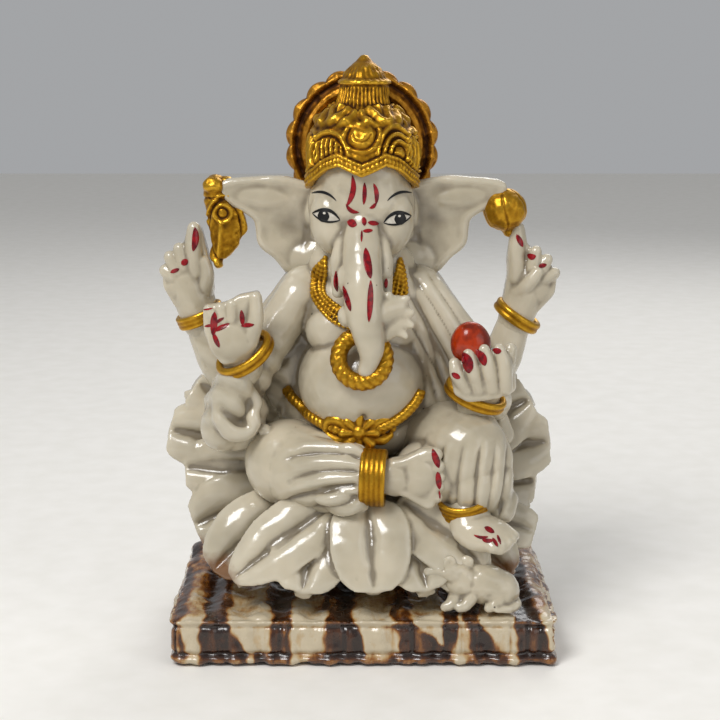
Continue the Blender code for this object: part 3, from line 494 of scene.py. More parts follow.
def streak_mask(x, y, z):
    """How brown the block is, from 0 to 1, by the bands of stain that run down it."""
    ends = ease(np.abs(x), 42.6, 43.6)  # on the block's ends the bands are spaced along its depth
    wavy = x + (1.55 * y - x) * ends + 1.3 * grit(x, y, z, 7, 1) + 0.7 * grit(x, y, z, 2.2, 6)
    fall = np.clip((LIP - z) / (LIP - PLINTH), 0, 1)
    edge = 1.0 + 0.7 * grit(x, y, z, 4, 9)
    mask = 0
    for top_start, top_end, low_start, low_end, dark in STREAKS:
        start = top_start + (low_start - top_start) * fall
        end = top_end + (low_end - top_end) * fall
        half = (end - start) / 2
        away = np.abs(wavy - (start + end) / 2) - half
        inside = 1 - ease(away, -edge, edge)
        rim = 0.16 * near(away, -0.7, 0.6)
        mask = np.maximum(mask, inside * dark + rim)
    plinth = 1 - ease(z + 0.5 * grit(x, y, z, 6, 4), PLINTH - 1.1, PLINTH + 0.3)
    lenses = ease(np.cos(x * 0.52 + 1.1) + 0.5 * grit(x, y, z, 7, 2), 0.35, 0.85)
    mask = np.maximum(mask, plinth * (0.85 - 0.6 * lenses))
    top = ease(z, LIP - 0.2, LIP + 1.2)
    washed = 0.5 + 0.22 * grit(x, y, z, 5, 5)
    outer = ease(np.abs(x + 4), 24, 36)
    smears = 0.12 * ease(grit(x, y, z, 3, 8), 0.1, 0.7)
    return mask * (1 - 0.45 * top) + top * washed * (0.45 + 0.55 * outer) + smears + 0.06


def block_shape(block):
    """The block's grooves between its bands, its lip and its plinth line."""
    def depth(x, y, z, ways):
        upright = 1 - ease(np.abs(ways[:, 2]), 0.55, 0.9)
        bent = x + 0.8 * grit(x, y, z, 9, 1)
        seams = 0
        for start, end, *_ in STREAKS:
            for edge in (start, end, (start + end) / 2 + 0.6):
                seams = np.maximum(seams, near(bent, edge, 0.4) * (0.6 + 0.4 * math.sin(7 * edge)))
        cushions = 0.3 * np.sin(bent * 0.62) + 0.2 * np.sin(bent * 1.5 + 0.2 * z)
        lip = 0.75 * near(z, LIP - 0.3, 0.6) - 0.45 * near(z, LIP - 1.5, 0.7)
        lip = lip - 0.8 * near(z, PLINTH + 0.2, 0.6)
        lip = lip + 0.45 * (1 - ease(z, PLINTH - 1.2, PLINTH - 0.4))
        rough = 0.3 * grit(x, y, z, 3.2, 3) + 0.12 * grit(x, y, z, 1.2, 4)
        top = ease(z, LIP, LIP + 1.4)
        worn = (0.4 * np.sin(bent * 0.8 + 1) + 0.5 * grit(x, y, z, 6, 5)) * top
        grooved = lip - 0.75 * seams * ease(z, PLINTH, PLINTH + 1)
        return upright * grooved + cushions * upright + rough + worn - 0.7
    carve(block, depth)


# ---- Lotus ---------------------------------------------------------------------------------
def lotus_front(bm):
    """The seat, the petals that hang before it, and those behind it."""
    seat = centre("lotus_seat")
    ball(bm, seat + v(0, 0, 3.4), (29.5, 18, 8.5), fine=4)
    ball(bm, seat + v(0, -1, -2), (25, 17, 9), fine=4)
    for root, tip, wide, bulge, crease, full, point, curl in (
        ((1.0, -16.6, 12.6), (2.8, -26.2, -7.3), 18.5, 3.0, 0.6, 0.3, 0.36, 1.5),
        ((-5, -15.6, 12), (-29.8, -22.4, -5.4), 16.5, 1.8, 1.1, 0.5, 0.62, 0.2),
        ((-10, -14.2, 7), (-13.4, -25.6, -7.5), 18, 2.4, 1.0, 0.36, 0.4, 1.2),
        ((10.5, -14.6, 9), (14.6, -25, -7.2), 18, 2.0, 1.1, 0.36, 0.44, 1.0),
        ((8, -15.8, 12.6), (28, -21.4, -3), 17, 1.8, 1.0, 0.5, 0.55, 0.3),
        ((16, -12.6, 6), (26, -22.4, -7.6), 16, 2.0, 1.2, 0.42, 0.45, 0.8),
        ((-17, -7, 9.5), (-34.5, -15, -5.8), 18, 2.2, 1.2, 0.4, 0.45, 0.5),
        ((22, -5.6, 6.6), (41, -8.4, 2.0), 11.5, 2.0, 0.5, 0.3, 0.24, 0.2),
        ((19, -8, 5), (34.5, -16, -6.2), 17, 2.0, 1.2, 0.4, 0.45, 0.5),
    ):
        out = v((tip[0] - root[0]) * 0.01, -1, 0.55)
        leaf(bm, seat + v(*root), seat + v(*tip), out, wide, 3.0, bulge, crease, full, point, curl)
    for node, side in (("rear_petal_1", LEFT), ("rear_petal_2", 0), ("rear_petal_3", RIGHT)):
        middle = centre(node)
        root, tip = middle + v(-side * 5.5, -5.5, 8.4), middle + v(side * 6.4, 5.6, -9)
        leaf(bm, root, tip, v(side * 0.6, 1, 0.5), 22, 3, 2.6, 1.2, 0.4, 0.45, 0.8)
    for side in (RIGHT, LEFT):
        root, tip = seat + v(side * 14, 6, 9), seat + v(side * 37, 13, -6.5)
        leaf(bm, root, tip, v(side, 0.8, 0.8), 20, 3, 2.4, 1.0, 0.4, 0.45, 0.5)


def lotus_sides(bm):
    """The broad petals that fan out beside the figure, each row a little before the last."""
    seat = centre("lotus_seat")
    for side, petals in (
        (RIGHT, ((9, 18, 40, 35, 18, 1.6), (7, 17, 46.8, 23.6, 17, 1.0), (5, 15, 43, 14.4, 15, 0.8),
                 (2.6, 10.5, 40.6, 0.6, 17, 0.9))),
        (LEFT, ((9, 18, 41, 31, 18, 1.6), (7, 17, 45.8, 20.6, 17, 1.2), (5, 12, 42.4, 11, 15, 0.8),
                (2.6, 9.5, 39.4, 1.4, 15, 0.9))),
    ):
        for depth, up, reach, rise, wide, wave in petals:
            root = seat + v(side * 17, depth, up)
            tip = seat + v(side * reach, depth - 1, rise)
            front = v(-side * 0.1, -1, 0.2)
            leaf(bm, root, tip, front, wide, 3.4, 1.8, 1.3, 0.5, 0.3, 0.5, wave)
            back = v(-side * 0.1, 1, 0.2)
            leaf(bm, root + v(0, 3, -1), tip + v(-side * 1.5, 3, 0), back, wide * 0.96, 3, 1.6, 1.1,
                 0.5, 0.32, 0.5, -wave)


# ---- Body, cloth, legs ---------------------------------------------------------------------
def figure_body(bm):
    """Belly, chest and back, four arms, and the cloth over the left shoulder."""
    belly = centre("pendant_ring") + v(0, 11.4, -7.6)
    chest = belly + v(0, 4.2, 15.5)
    ball(bm, belly, (14.8, 13.8, 13), fine=4)
    ball(bm, belly + v(0, 5, -11), (17, 11, 8.5), fine=4)
    ball(bm, chest, (15.6, 10.4, 12.5), fine=4)
    ball(bm, chest + v(-5.4, -5.6, -3.5), (7.6, 6, 6.8))
    ball(bm, chest + v(5.4, -5.6, -3.5), (7.6, 6, 6.8))
    ball(bm, chest + v(0, 0, 10.5), (12.5, 8.5, 8))
    ball(bm, chest + v(0, 4.6, 6), (18.5, 6.2, 8.5), fine=4)
    ball(bm, chest + v(0, 5.2, -5), (17.5, 7.2, 20), fine=4)
    ball(bm, belly + v(0, 6.4, -8), (20, 10, 13), fine=4)
    hips = (corner("folded_leg", 0.5, 0.9, 0.6) + corner("raised_leg", 0.2, 0.85, 0.6)) / 2
    ball(bm, v(belly.x, hips.y + 1.6, hips.z - 0.6), (24, 10.4, 11.4), fine=4)
    limb(bm, [(chest + v(-17, 8, 9), 1.7), (chest + v(-6, 11.6, -4), 2.1), (chest + v(5, 12.4, -17), 2.3),
              (chest + v(15, 10.4, -27), 2.2)])
    for side, name in ((RIGHT, "right"), (LEFT, "left")):
        shoulder = chest + v(side * 14.2, -1.5, 4.6)
        wrist = centre(f"upper_{name}_bangle")
        low = corner(f"upper_{name}_arm", 0.5, 0.5, 0) + v(side * 3.5, 0.6, 4.5)
        back = chest + v(side * 12.5, 4.5, 5.5)
        limb(bm, [(back, 6), (back.lerp(low, 0.5) + v(side * 1.2, 0.4, 0), 5.6), (low, 5.2)])
        limb(bm, [(low, 5.2), (low.lerp(wrist, 0.5) + v(side * 0.6, 0, -0.6), 4.7), (wrist, 3.7)])
        ball(bm, shoulder + v(-side, 1.5, 0), (5.8, 5.6, 6.2))
    shoulder = chest + v(-14.6, -2, 3.6)
    elbow = corner("lower_right_arm", 0.16, 0.5, 0.09)
    wrist = centre("lower_right_bangle")
    limb(bm, [(shoulder, 5.2), (shoulder.lerp(elbow, 0.5) + v(-0.8, -0.5, 0.5), 5.2), (elbow, 5)])
    ball(bm, chest + v(-14.5, 3, -11), (8, 5.4, 15), (0, 14, 0), fine=4)
    limb(bm, [(elbow, 5.2), (elbow.lerp(wrist, 0.5) + v(-0.4, -0.6, 0), 4.8), (wrist, 3.9)])
    ball(bm, elbow + v(3, 1.4, 4), (7.5, 6.4, 9.5))
    drape = elbow + v(4.6, -6.2, 6.5)
    limb(bm, [(drape + v(-3.4, 0.6, 6.5), 1.7), (drape + v(-4.6, 0.2, 0), 2.0),
              (drape + v(-2.2, -0.4, -5.4), 2.2), (drape + v(2.0, 0.4, -5.2), 1.9),
              (drape + v(3.4, 1.4, 0), 1.5), (drape + v(2.4, 1.6, 4), 1.3)])
    shoulder = chest + v(14.6, -1, 3.6)
    elbow = corner("lower_left_arm", 0.78, 0.62, 0.12)
    wrist = centre("lower_left_bangle")
    limb(bm, [(shoulder, 5.5), (shoulder.lerp(elbow, 0.5) + v(0.6, -0.2, 0.4), 5.8), (elbow, 5.4)])
    limb(bm, [(elbow, 5.4), (elbow.lerp(wrist, 0.5), 5), (wrist + v(0, 0.8, 0), 4.4)])
    shawl(bm, chest)


def shawl(bm, chest):
    """Cloth from the left shoulder over the thigh: a sheet of long folds."""
    knee = corner("shawl", 0.7, 0.4, 0.05)
    for i in range(7):
        share = i / 6
        top = chest + v(7.5 + 7.5 * share, -5.6 + 4.6 * share, 10.5 - 5.5 * share)
        low = knee + v(-13 + 20 * share, -4.6 + 3.5 * share, -1 - 3 * share * share)
        middle = top.lerp(low, 0.5) + v(-1.2 + 3.4 * share, -2.4 + 1.6 * share, 0)
        size = 1.7 + 0.5 * math.sin(i * 2.4)
        limb(bm, [(top, (size, 1.7)), (middle, (size * 1.25, 2.1)), (low, (size * 1.4, 2.3))], sides=14)
    ball(bm, chest.lerp(knee, 0.45) + v(5, 1.2, 0), (9, 4.8, 15), (0, -24, 0), fine=4)


def body_folds(body):
    """The navel, creases in the sleeve, folds in the shawl and cloth behind the hips."""
    chest = centre("pendant_ring") + v(0, 15.6, 8)

    def depth(x, y, z, ways):
        # Every height here is above the floor, and every place across is from the middle.
        navel = -0.8 * near(x - 0.3, 0, 1.0) * near(z, chest.z - 22, 1.3) * (y < -10)
        slack = 0.14 * grit(x, y, z, 5, 1) + 0.06 * grit(x, y, z, 1.8, 2)
        sleeve = ease(-x, 16, 20) * ease(z, 50, 54) * (1 - ease(z, 70, 76)) * (y < 2)
        creases = 0.32 * np.sin((z * 0.8 + x * 0.5 + y * 0.4) * 1.3) * sleeve
        lean = (x - 9) * 0.87 + (z - 84) * 0.5 + 0.8 * np.sin(z * 0.16)
        over_arm = ease(lean, -6, -3) * (1 - ease(lean, 9, 12)) * ease(x, 8, 12) * ease(z, 48, 54)
        over_arm = over_arm * (1 - ease(z, 84, 88)) * ease(-ways[:, 1], 0, 0.5)
        folds = 0.55 * np.abs(np.sin(lean * 0.95 + 0.4 * np.sin(z * 0.21))) ** 0.7 * over_arm
        behind = ease(ways[:, 1], 0.1, 0.6)
        slope = z + 0.5 * np.abs(x) + 1.5 * np.sin(x * 0.2)
        cloth = 0.4 * np.abs(np.sin(slope * 0.42)) ** 0.6 * (1 - ease(z, 52, 60)) * behind
        return navel + slack + creases + folds - 0.3 * over_arm + cloth
    carve(body, depth)


def axis_place(x, y, z, start, end):
    """How far along an axis each point lies, its angle about it and its distance from it."""
    along = (end - start)
    length = along.length
    along = along.normalized()
    front = (v(0, -1, 0) - along * v(0, -1, 0).dot(along)).normalized()
    up = along.cross(front)
    dx, dy, dz = x - start.x, y - start.y, z - start.z
    share = (dx * along.x + dy * along.y + dz * along.z) / length
    ahead = dx * front.x + dy * front.y + dz * front.z
    above = dx * up.x + dy * up.y + dz * up.z
    return share, np.arctan2(above, ahead), np.hypot(above, ahead)


def folded_leg(bm):
    """The leg that lies across the seat, from the knee to the ankle."""
    ankle = centre("folded_anklet") + v(-1, 0, 0)
    knee = corner("folded_leg", 0, 0.5, 0.5) + v(9.6, -0.4, 0.4)
    hip = corner("folded_leg", 0.5, 0.9, 0.6)
    ball(bm, knee, (10, 10, 10.2), fine=4)
    ball(bm, knee + v(3.6, -2.5, -0.6), (10, 10, 9.8), fine=4)
    limb(bm, [(hip, 9.5), (knee, 9.4)])
    middle = knee.lerp(ankle, 0.55) + v(-0.5, -1.2, -0.6)
    limb(bm, [(knee, (10, 10)), (middle, (8.4, 8.8)), (ankle + v(-2, 0.2, 0), (5.6, 6.8)),
              (ankle, (4.8, 5.6))])
    ball(bm, ankle + v(-5.5, 1.2, 3.8), (5.6, 4.4, 3.6), (0, -28, 0))
    ball(bm, ankle + v(-6.5, -0.6, -4.4), (7, 5, 3.8), (0, 18, 0))
    ball(bm, knee + v(-5.2, -3, 8.4), (1.5, 1.6, 1.5))


def folded_leg_folds(leg):
    """Folds that run back from the ankle and die out over the knee."""
    ankle = centre("folded_anklet")
    knee = corner("folded_leg", 0, 0.5, 0.5) + v(9.6, -0.4, 0.4)

    def depth(x, y, z, ways):
        share, turn, _ = axis_place(x, y, z, ankle, knee)
        bent = turn + 0.9 * np.clip(share, 0, 1.2) ** 1.6
        cuts = 0
        for at, deep, reach in ((-1.75, 0.9, 0.75), (-1.1, 1.1, 0.95), (-0.55, 0.8, 0.7),
                                (-0.1, 1.15, 1.05),
                                (0.4, 0.85, 0.8), (0.95, 1.0, 0.9), (1.6, 0.8, 0.7), (2.3, 0.9, 0.8)):
            fade = ease(share, -0.02, 0.08) * (1 - ease(share, reach * 0.55, reach))
            cuts = cuts - deep * fade * np.exp(-np.abs((bent - at) / 0.11) ** 1.3)
            cuts = cuts + 0.35 * deep * fade * near(bent, at + 0.24, 0.14)
        return cuts + 0.12 * grit(x, y, z, 4, 3)
    carve(leg, depth)


def raised_leg(bm):
    """The leg whose foot rests on the petals, with cloth hanging beside it."""
    ankle = centre("raised_anklet")
    knee = corner("raised_leg", 0.62, 0.3, 0.62)
    hip = corner("raised_leg", 0.2, 0.85, 0.6)
    limb(bm, [(hip, 8.5), (hip.lerp(knee, 0.5) + v(0, 0, 2), 9.2), (knee + v(0, 0, 0.8), 9.6)])
    ball(bm, knee + v(0.5, -0.6, -1), (10, 9.4, 9.6), fine=4)
    ball(bm, knee + v(2.2, -1.6, -6), (8.6, 8.6, 8.4), fine=4)
    ball(bm, knee + v(-8, -0.6, -4.6), (8.5, 8.6, 7.4), (0, 34, 0), fine=4)
    limb(bm, [(knee + v(1.5, -2, -7), (8, 7.8)), (ankle + v(1.6, 3.4, 6), (6.2, 5)),
              (ankle + v(0.6, 2.4, 0.6), (4.4, 3.6))])
    limb(bm, [(knee + v(6.6, -2, -8), 4.2), (knee + v(8.0, -3.4, -13), 3.2),
              (ankle + v(10.4, 2.4, 0.4), 2.2)])


def raised_leg_folds(leg):
    """Long folds from the knee: some sweep in under the belly, and some fall to the ankle."""
    knee = corner("raised_leg", 0.62, 0.3, 0.62)

    def depth(x, y, z, ways):
        front = ease(-ways[:, 1], -0.3, 0.4)
        low = knee.z + 9 - z
        cuts = 0
        for at, lean, bow, deep, stop in ((-8, 1.25, -0.012, 0.55, 19), (-4.6, 0.95, -0.012, 0.8, 22),
                                          (-1.4, 0.62, -0.01, 0.45, 25), (2.0, 0.42, -0.006, 0.75, 27),
                                          (5.2, 0.22, 0, 0.4, 24), (8.0, 0.04, 0.004, 0.7, 26)):
            line = knee.x + at + 1.6 - lean * low * 0.55 - bow * low * low
            gap = x - line
            fade = ease(low, 3, 9) * (1 - ease(low, stop - 6, stop))
            cuts = cuts - deep * fade * np.exp(-np.abs(gap / 0.6) ** 1.4)
            cuts = cuts + 0.45 * deep * fade * near(gap, 1.3, 0.8)
        return cuts * front + 0.14 * grit(x, y, z, 4, 4)
    carve(leg, depth)


def plate(bm, middle, outline, thick, rim=1.2):
    """A slab with a rounded rim: its outline is in (x, z) about the middle, and it faces front."""
    corners = [bm.verts.new(middle + v(x, -thick / 2, z)) for x, z in outline]
    face = bm.faces.new(corners)
    grown = bmesh.ops.extrude_face_region(bm, geom=[face])["geom"]
    moved = [part for part in grown if isinstance(part, bmesh.types.BMVert)]
    bmesh.ops.translate(bm, verts=moved, vec=v(0, thick, 0))
    shell = list({f for vert in corners + moved for f in vert.link_faces})
    bmesh.ops.recalc_face_normals(bm, faces=shell)
    edges = list({edge for f in shell for edge in f.edges})
    bmesh.ops.bevel(bm, geom=edges, offset=rim, offset_type="OFFSET", segments=3, profile=0.5,
                    affect="EDGES", material=-1, clamp_overlap=True)


def folded_foot(bm):
    """The foot fans out from the anklet to a row of short toes."""
    middle = centre("folded_foot")
    plate(bm, middle + v(0, 0, 0.4), ((-6, 4.2), (-2.6, 4.8), (2.4, 7.2), (5.0, 6.8), (5.6, 3), (5.4, -2),
                                      (4.4, -6.6), (2.6, -7.2), (-1.6, -4.4), (-5.6, -3)), 4.6)
    ball(bm, middle + v(-4.5, 0.2, 0.5), (5, 3.4, 4.4))
    ball(bm, middle + v(0.8, -0.6, 1), (4.6, 2.7, 5.6))
    for z, x, size in ((6.0, 4.9, 1.7), (3.2, 5.7, 1.5), (0.8, 6.0, 1.35), (-1.5, 5.9, 1.3),
                       (-3.8, 5.5, 1.3)):
        limb(bm, [(middle + v(x - 3.4, -0.8, z * 0.9), size * 1.1),
                  (middle + v(x - 0.5, -1.0, z), size)], sides=12)


def raised_foot(bm):
    """The foot points down and out from under the cloth, its toes to the front."""
    ankle = centre("raised_anklet")
    middle = centre("raised_foot")
    limb(bm, [(ankle + v(0.6, 1, 0), (4.2, 4.4)), (middle + v(-2.6, 1.6, 0.6), (5.4, 3.8)),
              (middle + v(1.4, -0.4, -0.6), (5.0, 3.0)), (middle + v(4.0, -1.6, -1.6), (4.2, 2.2))],
         sides=26)
    ball(bm, middle + v(-2, 1.4, 0.2), (5.6, 5, 3.6))
    for i, (x, y, z) in enumerate(((1.4, -4.2, -2.4), (3.2, -3.8, -1.8), (4.7, -3.1, -1.4),
                                   (5.8, -2.1, -1.0), (6.5, -0.9, -0.6))):
        tip = middle + v(x, y, z)
        limb(bm, [(tip + v(-2.6, 2, 1.2), 1.5), (tip, 1.35 - 0.08 * i)], sides=12)


# ---- Head ----------------------------------------------------------------------------------
def head(bm):
    """The face narrows from the brow to the chin, and the trunk grows out of its middle."""
    face = centre("head")

    def at(x, y, z):
        return face + v(x, y, z)

    limb(bm, [(at(0, -0.6, 8.5), (10.6, 9.6)), (at(0, 0, 3.6), (12.2, 11.2)),
              (at(0, 0.2, -1.6), (11.8, 10.8)),
              (at(0, -0.8, -6.6), (10, 9.6)), (at(0, -1.4, -10.4), (7.0, 7.2))], sides=36)
    for side in (RIGHT, LEFT):
        ball(bm, at(side * 6.6, -5.2, -1.2), (5.2, 4.8, 7.4), (0, side * 10, side * 14), fine=4)
    limb(bm, [(at(0, -6.6, 3.4), (2.2, 2.6)), (at(0, -9.4, -1.2), (3.5, 2.8)),
              (at(0, -12, -5.8), (4.2, 3.5)), (at(0.2, -15, -11), (4.4, 4.1)),
              (at(0.3, -17.2, -15.6), (4.5, 4.2)), (at(0.9, -18.8, -21.4), (4.0, 3.8)),
              (at(1.9, -19, -27), (3.2, 3.1)), (at(1.7, -18.6, -30.2), (2.3, 2.3)),
              (at(0.9, -18.2, -32.6), (1.9, 1.8))],
         sides=30)
    for side in (RIGHT, LEFT):
        limb(bm, [(at(side * 3.6, -8.6, -4), 2.0), (at(side * 4.6, -10.8, -8.4), 2.4),
                  (at(side * 4.6, -11.8, -11.4), 2.3)])
    ball(bm, at(-3.5, -14.8, -12.6), (2.3, 2.6, 3.2))
    ball(bm, at(-3.2, -16.6, -20.6), (2.2, 2.6, 2.6))
    trunk_curl(bm)


def trunk_curl(bm):
    """The knobbed hand-like end that the trunk turns out to the figure's left."""
    middle = centre("trunk_curl")
    limb(bm, [(middle + v(-6, -1.6, 0.4), (3.4, 3.2)), (middle + v(-3, -0.6, 1.4), (3.2, 3.6)),
              (middle + v(-0.2, 0.2, 2.2), (2.9, 3.2))])
    limb(bm, [(middle + v(-5.6, -1.0, -3.6), 2.6), (middle + v(-2.6, 0, -2.2), 2.9),
              (middle + v(0.2, 0.2, -0.4), 2.6)])
    for dx, dz, reach, lift in ((-1.4, 4.4, 1.0, 1.9), (1.6, 4.2, 1.8, 1.2), (2.6, 2.0, 2.0, 0.2),
                                (2.8, 0.2, 1.8, -0.8), (1.8, -1.8, 1.4, -1.2)):
        root = middle + v(dx - 1.4, -0.6, dz - 0.8)
        limb(bm, [(root, 1.5), (root + v(reach, -0.4, lift), 0.9)], sides=12)


def tusk(bm, name, side):
    """A short blunt tusk."""
    middle = centre(f"{name}_tusk")
    limb(bm, [(middle + v(-side * 0.6, 1.6, 3.6), 2.0), (middle + v(0, 0, 0), 1.9),
              (middle + v(side * 0.3, -1, -3.4), 1.5)])


def ear(bm, name, side):
    """A broad fan that hangs from a level top edge, rolled at its rim and hollow within."""
    middle = centre(f"{name}_ear")
    outline = ((-13, 11.2), (-7.6, 9.6), (-0.7, 11.2), (7, 10.8), (12.2, 10.2), (13.8, 8.2), (11.4, 4.8),
               (8.2, 3.2), (5.2, 1.2), (4.4, -4.2), (1, -7.4), (-1.2, -10.6), (-6, -13.4), (-13, -12))
    plate(bm, middle + v(0, 0.4, 0), [(side * x, z) for x, z in outline], 3.8, 1.0)
    rim = [(-8.6, 8.2), (-1.2, 9.8), (6.6, 9.5), (11.8, 8.8), (12.2, 7.4), (9.6, 4.9), (6.6, 3.4),
           (3.8, 0.8), (3.2, -4.2), (0, -7.2), (-2.4, -10)]
    limb(bm, [(middle + v(side * x, -0.5, z), 1.25) for x, z in rim], sides=12)
    ball(bm, middle + v(side * -11, 0.4, 3), (5, 4.4, 8), (0, side * -10, 0), fine=4)
    ball(bm, middle + v(side * -8, 0.6, -8.4), (6.4, 3.6, 5.6), fine=4)
    ball(bm, middle + v(side * 3, 0.2, 6), (8.6, 2.4, 3.6), (0, side * -4, 0), fine=4)


def ear_hollows(ears):
    """The cup of the ear, the fold beside the face, and faint veins."""
    middle = centre("left_ear")

    def depth(x, y, z, ways):
        out = np.abs(x) - middle.x
        up = z - middle.z
        front = ease(-ways[:, 1], 0.2, 0.7)
        cup = near(out, -3.6, 3.2) * near(up, -0.4, 4.4)
        fold = near(out + 0.25 * up, -7.6, 0.8) * near(up, 0, 5)
        veins = np.sin(np.arctan2(up - 12, out + 14) * 15) * ease(np.hypot(out + 14, up - 12), 8, 15)
        return front * (-0.9 * cup - 0.35 * fold - 0.1 * veins) + 0.2 * grit(x, y, z, 3.5, 6)
    carve(ears, depth)


# ---- Hands ---------------------------------------------------------------------------------
def fingers(bm, root, tips, size, bend=(0, -0.6, 0)):
    """Low ridges for fingers that spread from a root to their tips."""
    for tip in tips:
        tip = root + v(*tip)
        knuckle = root.lerp(tip, 0.6) + v(*bend)
        limb(bm, [(root.lerp(tip, 0.2), size), (knuckle, size), (tip, size * 0.85)], sides=14)


def upper_right_hand(bm):
    """It grips the axe with the first finger up its side."""
    wrist = centre("upper_right_bangle")
    palm = centre("upper_right_hand")
    plate(bm, palm, ((2.0, 11.0), (0.4, 9.6), (-0.4, 6.2), (-3.4, 4.0), (-5.4, 0.4), (-5.2, -3.6),
                     (-2.4, -8.6), (4.6, -7.6), (6.6, -5.1), (6.2, 0.9), (4.8, 6.6), (3.8, 10.6)), 4.8)
    ball(bm, palm + v(0.2, -0.2, -2.4), (5.4, 4.0, 6), (0, -10, 0), fine=4)
    limb(bm, [(wrist + v(0.4, 0, -1.5), 4.2), (wrist + v(-1, 0, 4), 4.8), (palm + v(0, 0, -2), 4.4)])
    limb(bm, [(palm + v(2.4, -1.8, 0), 2.2), (palm + v(2.0, -2.2, 6), 2.0),
              (palm + v(2.2, -1.8, 10.4), 1.5)])
    fingers(bm, palm + v(0.4, -1.4, -3), ((-1.6, -0.6, 8.6), (-3.8, -0.6, 6.6), (-5, -0.4, 3.4)), 1.75)
    limb(bm, [(palm + v(4, -1.4, -5), 2.2), (palm + v(5.0, -2.2, -1.0), 1.9),
              (palm + v(4.4, -2.2, 2.4), 1.5)])


def upper_left_hand(bm):
    """It holds up the bud on its first finger."""
    wrist = centre("upper_left_bangle")
    palm = centre("upper_left_hand")
    plate(bm, palm, ((-3, 11.6), (-1.3, 11.2), (-0.6, 6.6), (1.2, 5.8), (4.1, 3.2), (6.4, 0), (6.0, -4.4),
                     (1.1, -10.2), (-6.4, -7), (-5.3, -0.7), (-5.5, 3.3), (-4.7, 9.3)), 4.6)
    ball(bm, palm + v(0.4, -0.2, -2.4), (5.2, 4.0, 6), (0, 14, 0), fine=4)
    limb(bm, [(wrist + v(-0.4, 0, -1.5), 4.2), (wrist + v(1.0, 0, 3.6), 4.6), (palm + v(0, 0, -2), 4.3)])
    limb(bm, [(palm + v(-3.0, -1.2, -1), 2.2), (palm + v(-3.3, -1.6, 5), 2.1),
              (palm + v(-3.0, -1.4, 10.6), 1.7)])
    fingers(bm, palm + v(-0.2, -1.4, -3), ((1.4, -0.8, 8.4), (4.0, -0.8, 6.4), (5.8, -0.4, 3.2)), 1.65)
    limb(bm, [(palm + v(-2.6, -2.4, -4.4), 1.9), (palm + v(0, -3.8, -1.4), 1.6),
              (palm + v(1.6, -4, 0.8), 1.3)])


def blessing_hand(bm):
    """The palm is raised to the front, with its fingers held together."""
    wrist = centre("lower_right_bangle")
    palm = centre("lower_right_hand") + v(0, -0.6, 0)
    plate(bm, palm, ((-6.6, 5.1), (-3.3, 5.5), (-0.4, 6.2), (1.1, 7.4), (4.2, 7.9), (6.0, 8.6), (6.9, 4.7),
                     (6.9, 1.6), (5.7, -3.8), (2.7, -7.3), (-2.1, -8.4), (-4.9, -5.3), (-6.5, -0.3)), 4.0)
    ball(bm, palm + v(0, -0.6, -2.6), (5.6, 2.9, 5.0), fine=4)
    limb(bm, [(wrist + v(0, 1.4, -1.6), 4.4), (palm + v(0.3, 1.6, -4), (5, 3.4)),
              (palm + v(0, 1, 1), (4.6, 2.6))])
    fingers(bm, palm + v(-0.6, -0.3, -3), ((-4.6, -0.8, 7.2), (-2.0, -0.9, 7.6), (0.5, -0.9, 8.4)), 1.5,
            (0, -0.2, 0))
    limb(bm, [(palm + v(3.6, -0.6, -3), 2.2), (palm + v(5.2, -1.6, 2.4), 1.9),
              (palm + v(5.3, -1.2, 6.8), 1.5)], sides=14)


def offering_hand(bm):
    """It cups the sweet, with four fingertips curled up before it."""
    sweet = centre("modak")
    wrist = centre("lower_left_bangle")
    palm = centre("lower_left_hand")
    plate(bm, palm + v(-0.2, -1.4, 0), ((-7.6, 2.0), (-6.6, 3.2), (-5.0, 5.0), (-3.0, 6.0), (-0.8, 6.8),
                                        (2.5, 7.2), (5.0, 6.6), (6.4, 3.7), (6.0, -1.3), (3.4, -3.8),
                                        (-3.6, -4.6), (-7.0, -2.8)), 5.6)
    ball(bm, palm + v(-0.2, -0.8, 0), (6.6, 4.0, 4.6), fine=4)
    limb(bm, [(wrist + v(0, 1, -1), (4.8, 4)), (palm, (5.6, 3.6))])
    for dx, top in ((-5.0, -2.6), (-1.9, -0.4), (1.5, 0.5), (4.9, 0.6)):
        tip = v(sweet.x + dx + 0.6, sweet.y - 4.4 + abs(dx) * 0.16, sweet.z + top)
        foot = v(palm.x + dx * 0.9, palm.y - 3.2, palm.z - 1.6)
        limb(bm, [(foot, 1.7), (foot.lerp(tip, 0.55) + v(dx * 0.1, -0.9, 0), 1.65), (tip, 1.35)], sides=14)
    limb(bm, [(palm + v(5, 0, -1.4), 2.2), (sweet + v(7.3, -1.5, -3.4), 2.0),
              (sweet + v(8.2, -1.2, 0.2), 1.5)], sides=14)


# ---- Crown and halo: a turned profile with chased relief ------------------------------------
GRAIN_TURNED = 0.26  # the spacing of a turned skin's rows


def turned(name, profile, rings, place):
    """A closed skin turned from a profile of (radius, height), where place(radius, height, angle)
    puts each point; the angle is 0 at the front and grows towards the figure's left."""
    bm = bmesh.new()
    steps = np.cumsum([0] + [math.dist(a, b) for a, b in zip(profile, profile[1:])])
    rows = max(40, int(steps[-1] / GRAIN_TURNED))
    made = bmesh.ops.create_grid(bm, x_segments=rings, y_segments=rows, size=1)["verts"]
    radii, heights = zip(*profile)
    for vert in made:
        angle = math.pi * vert.co.x
        along = steps[-1] * (vert.co.y + 1) / 2
        radius, height = np.interp(along, steps, radii), np.interp(along, steps, heights)
        vert.co = place(radius, height, angle)
    bmesh.ops.remove_doubles(bm, verts=bm.verts[:], dist=0.004)
    bmesh.ops.recalc_face_normals(bm, faces=bm.faces[:])
    return mesh_object(name, bm)


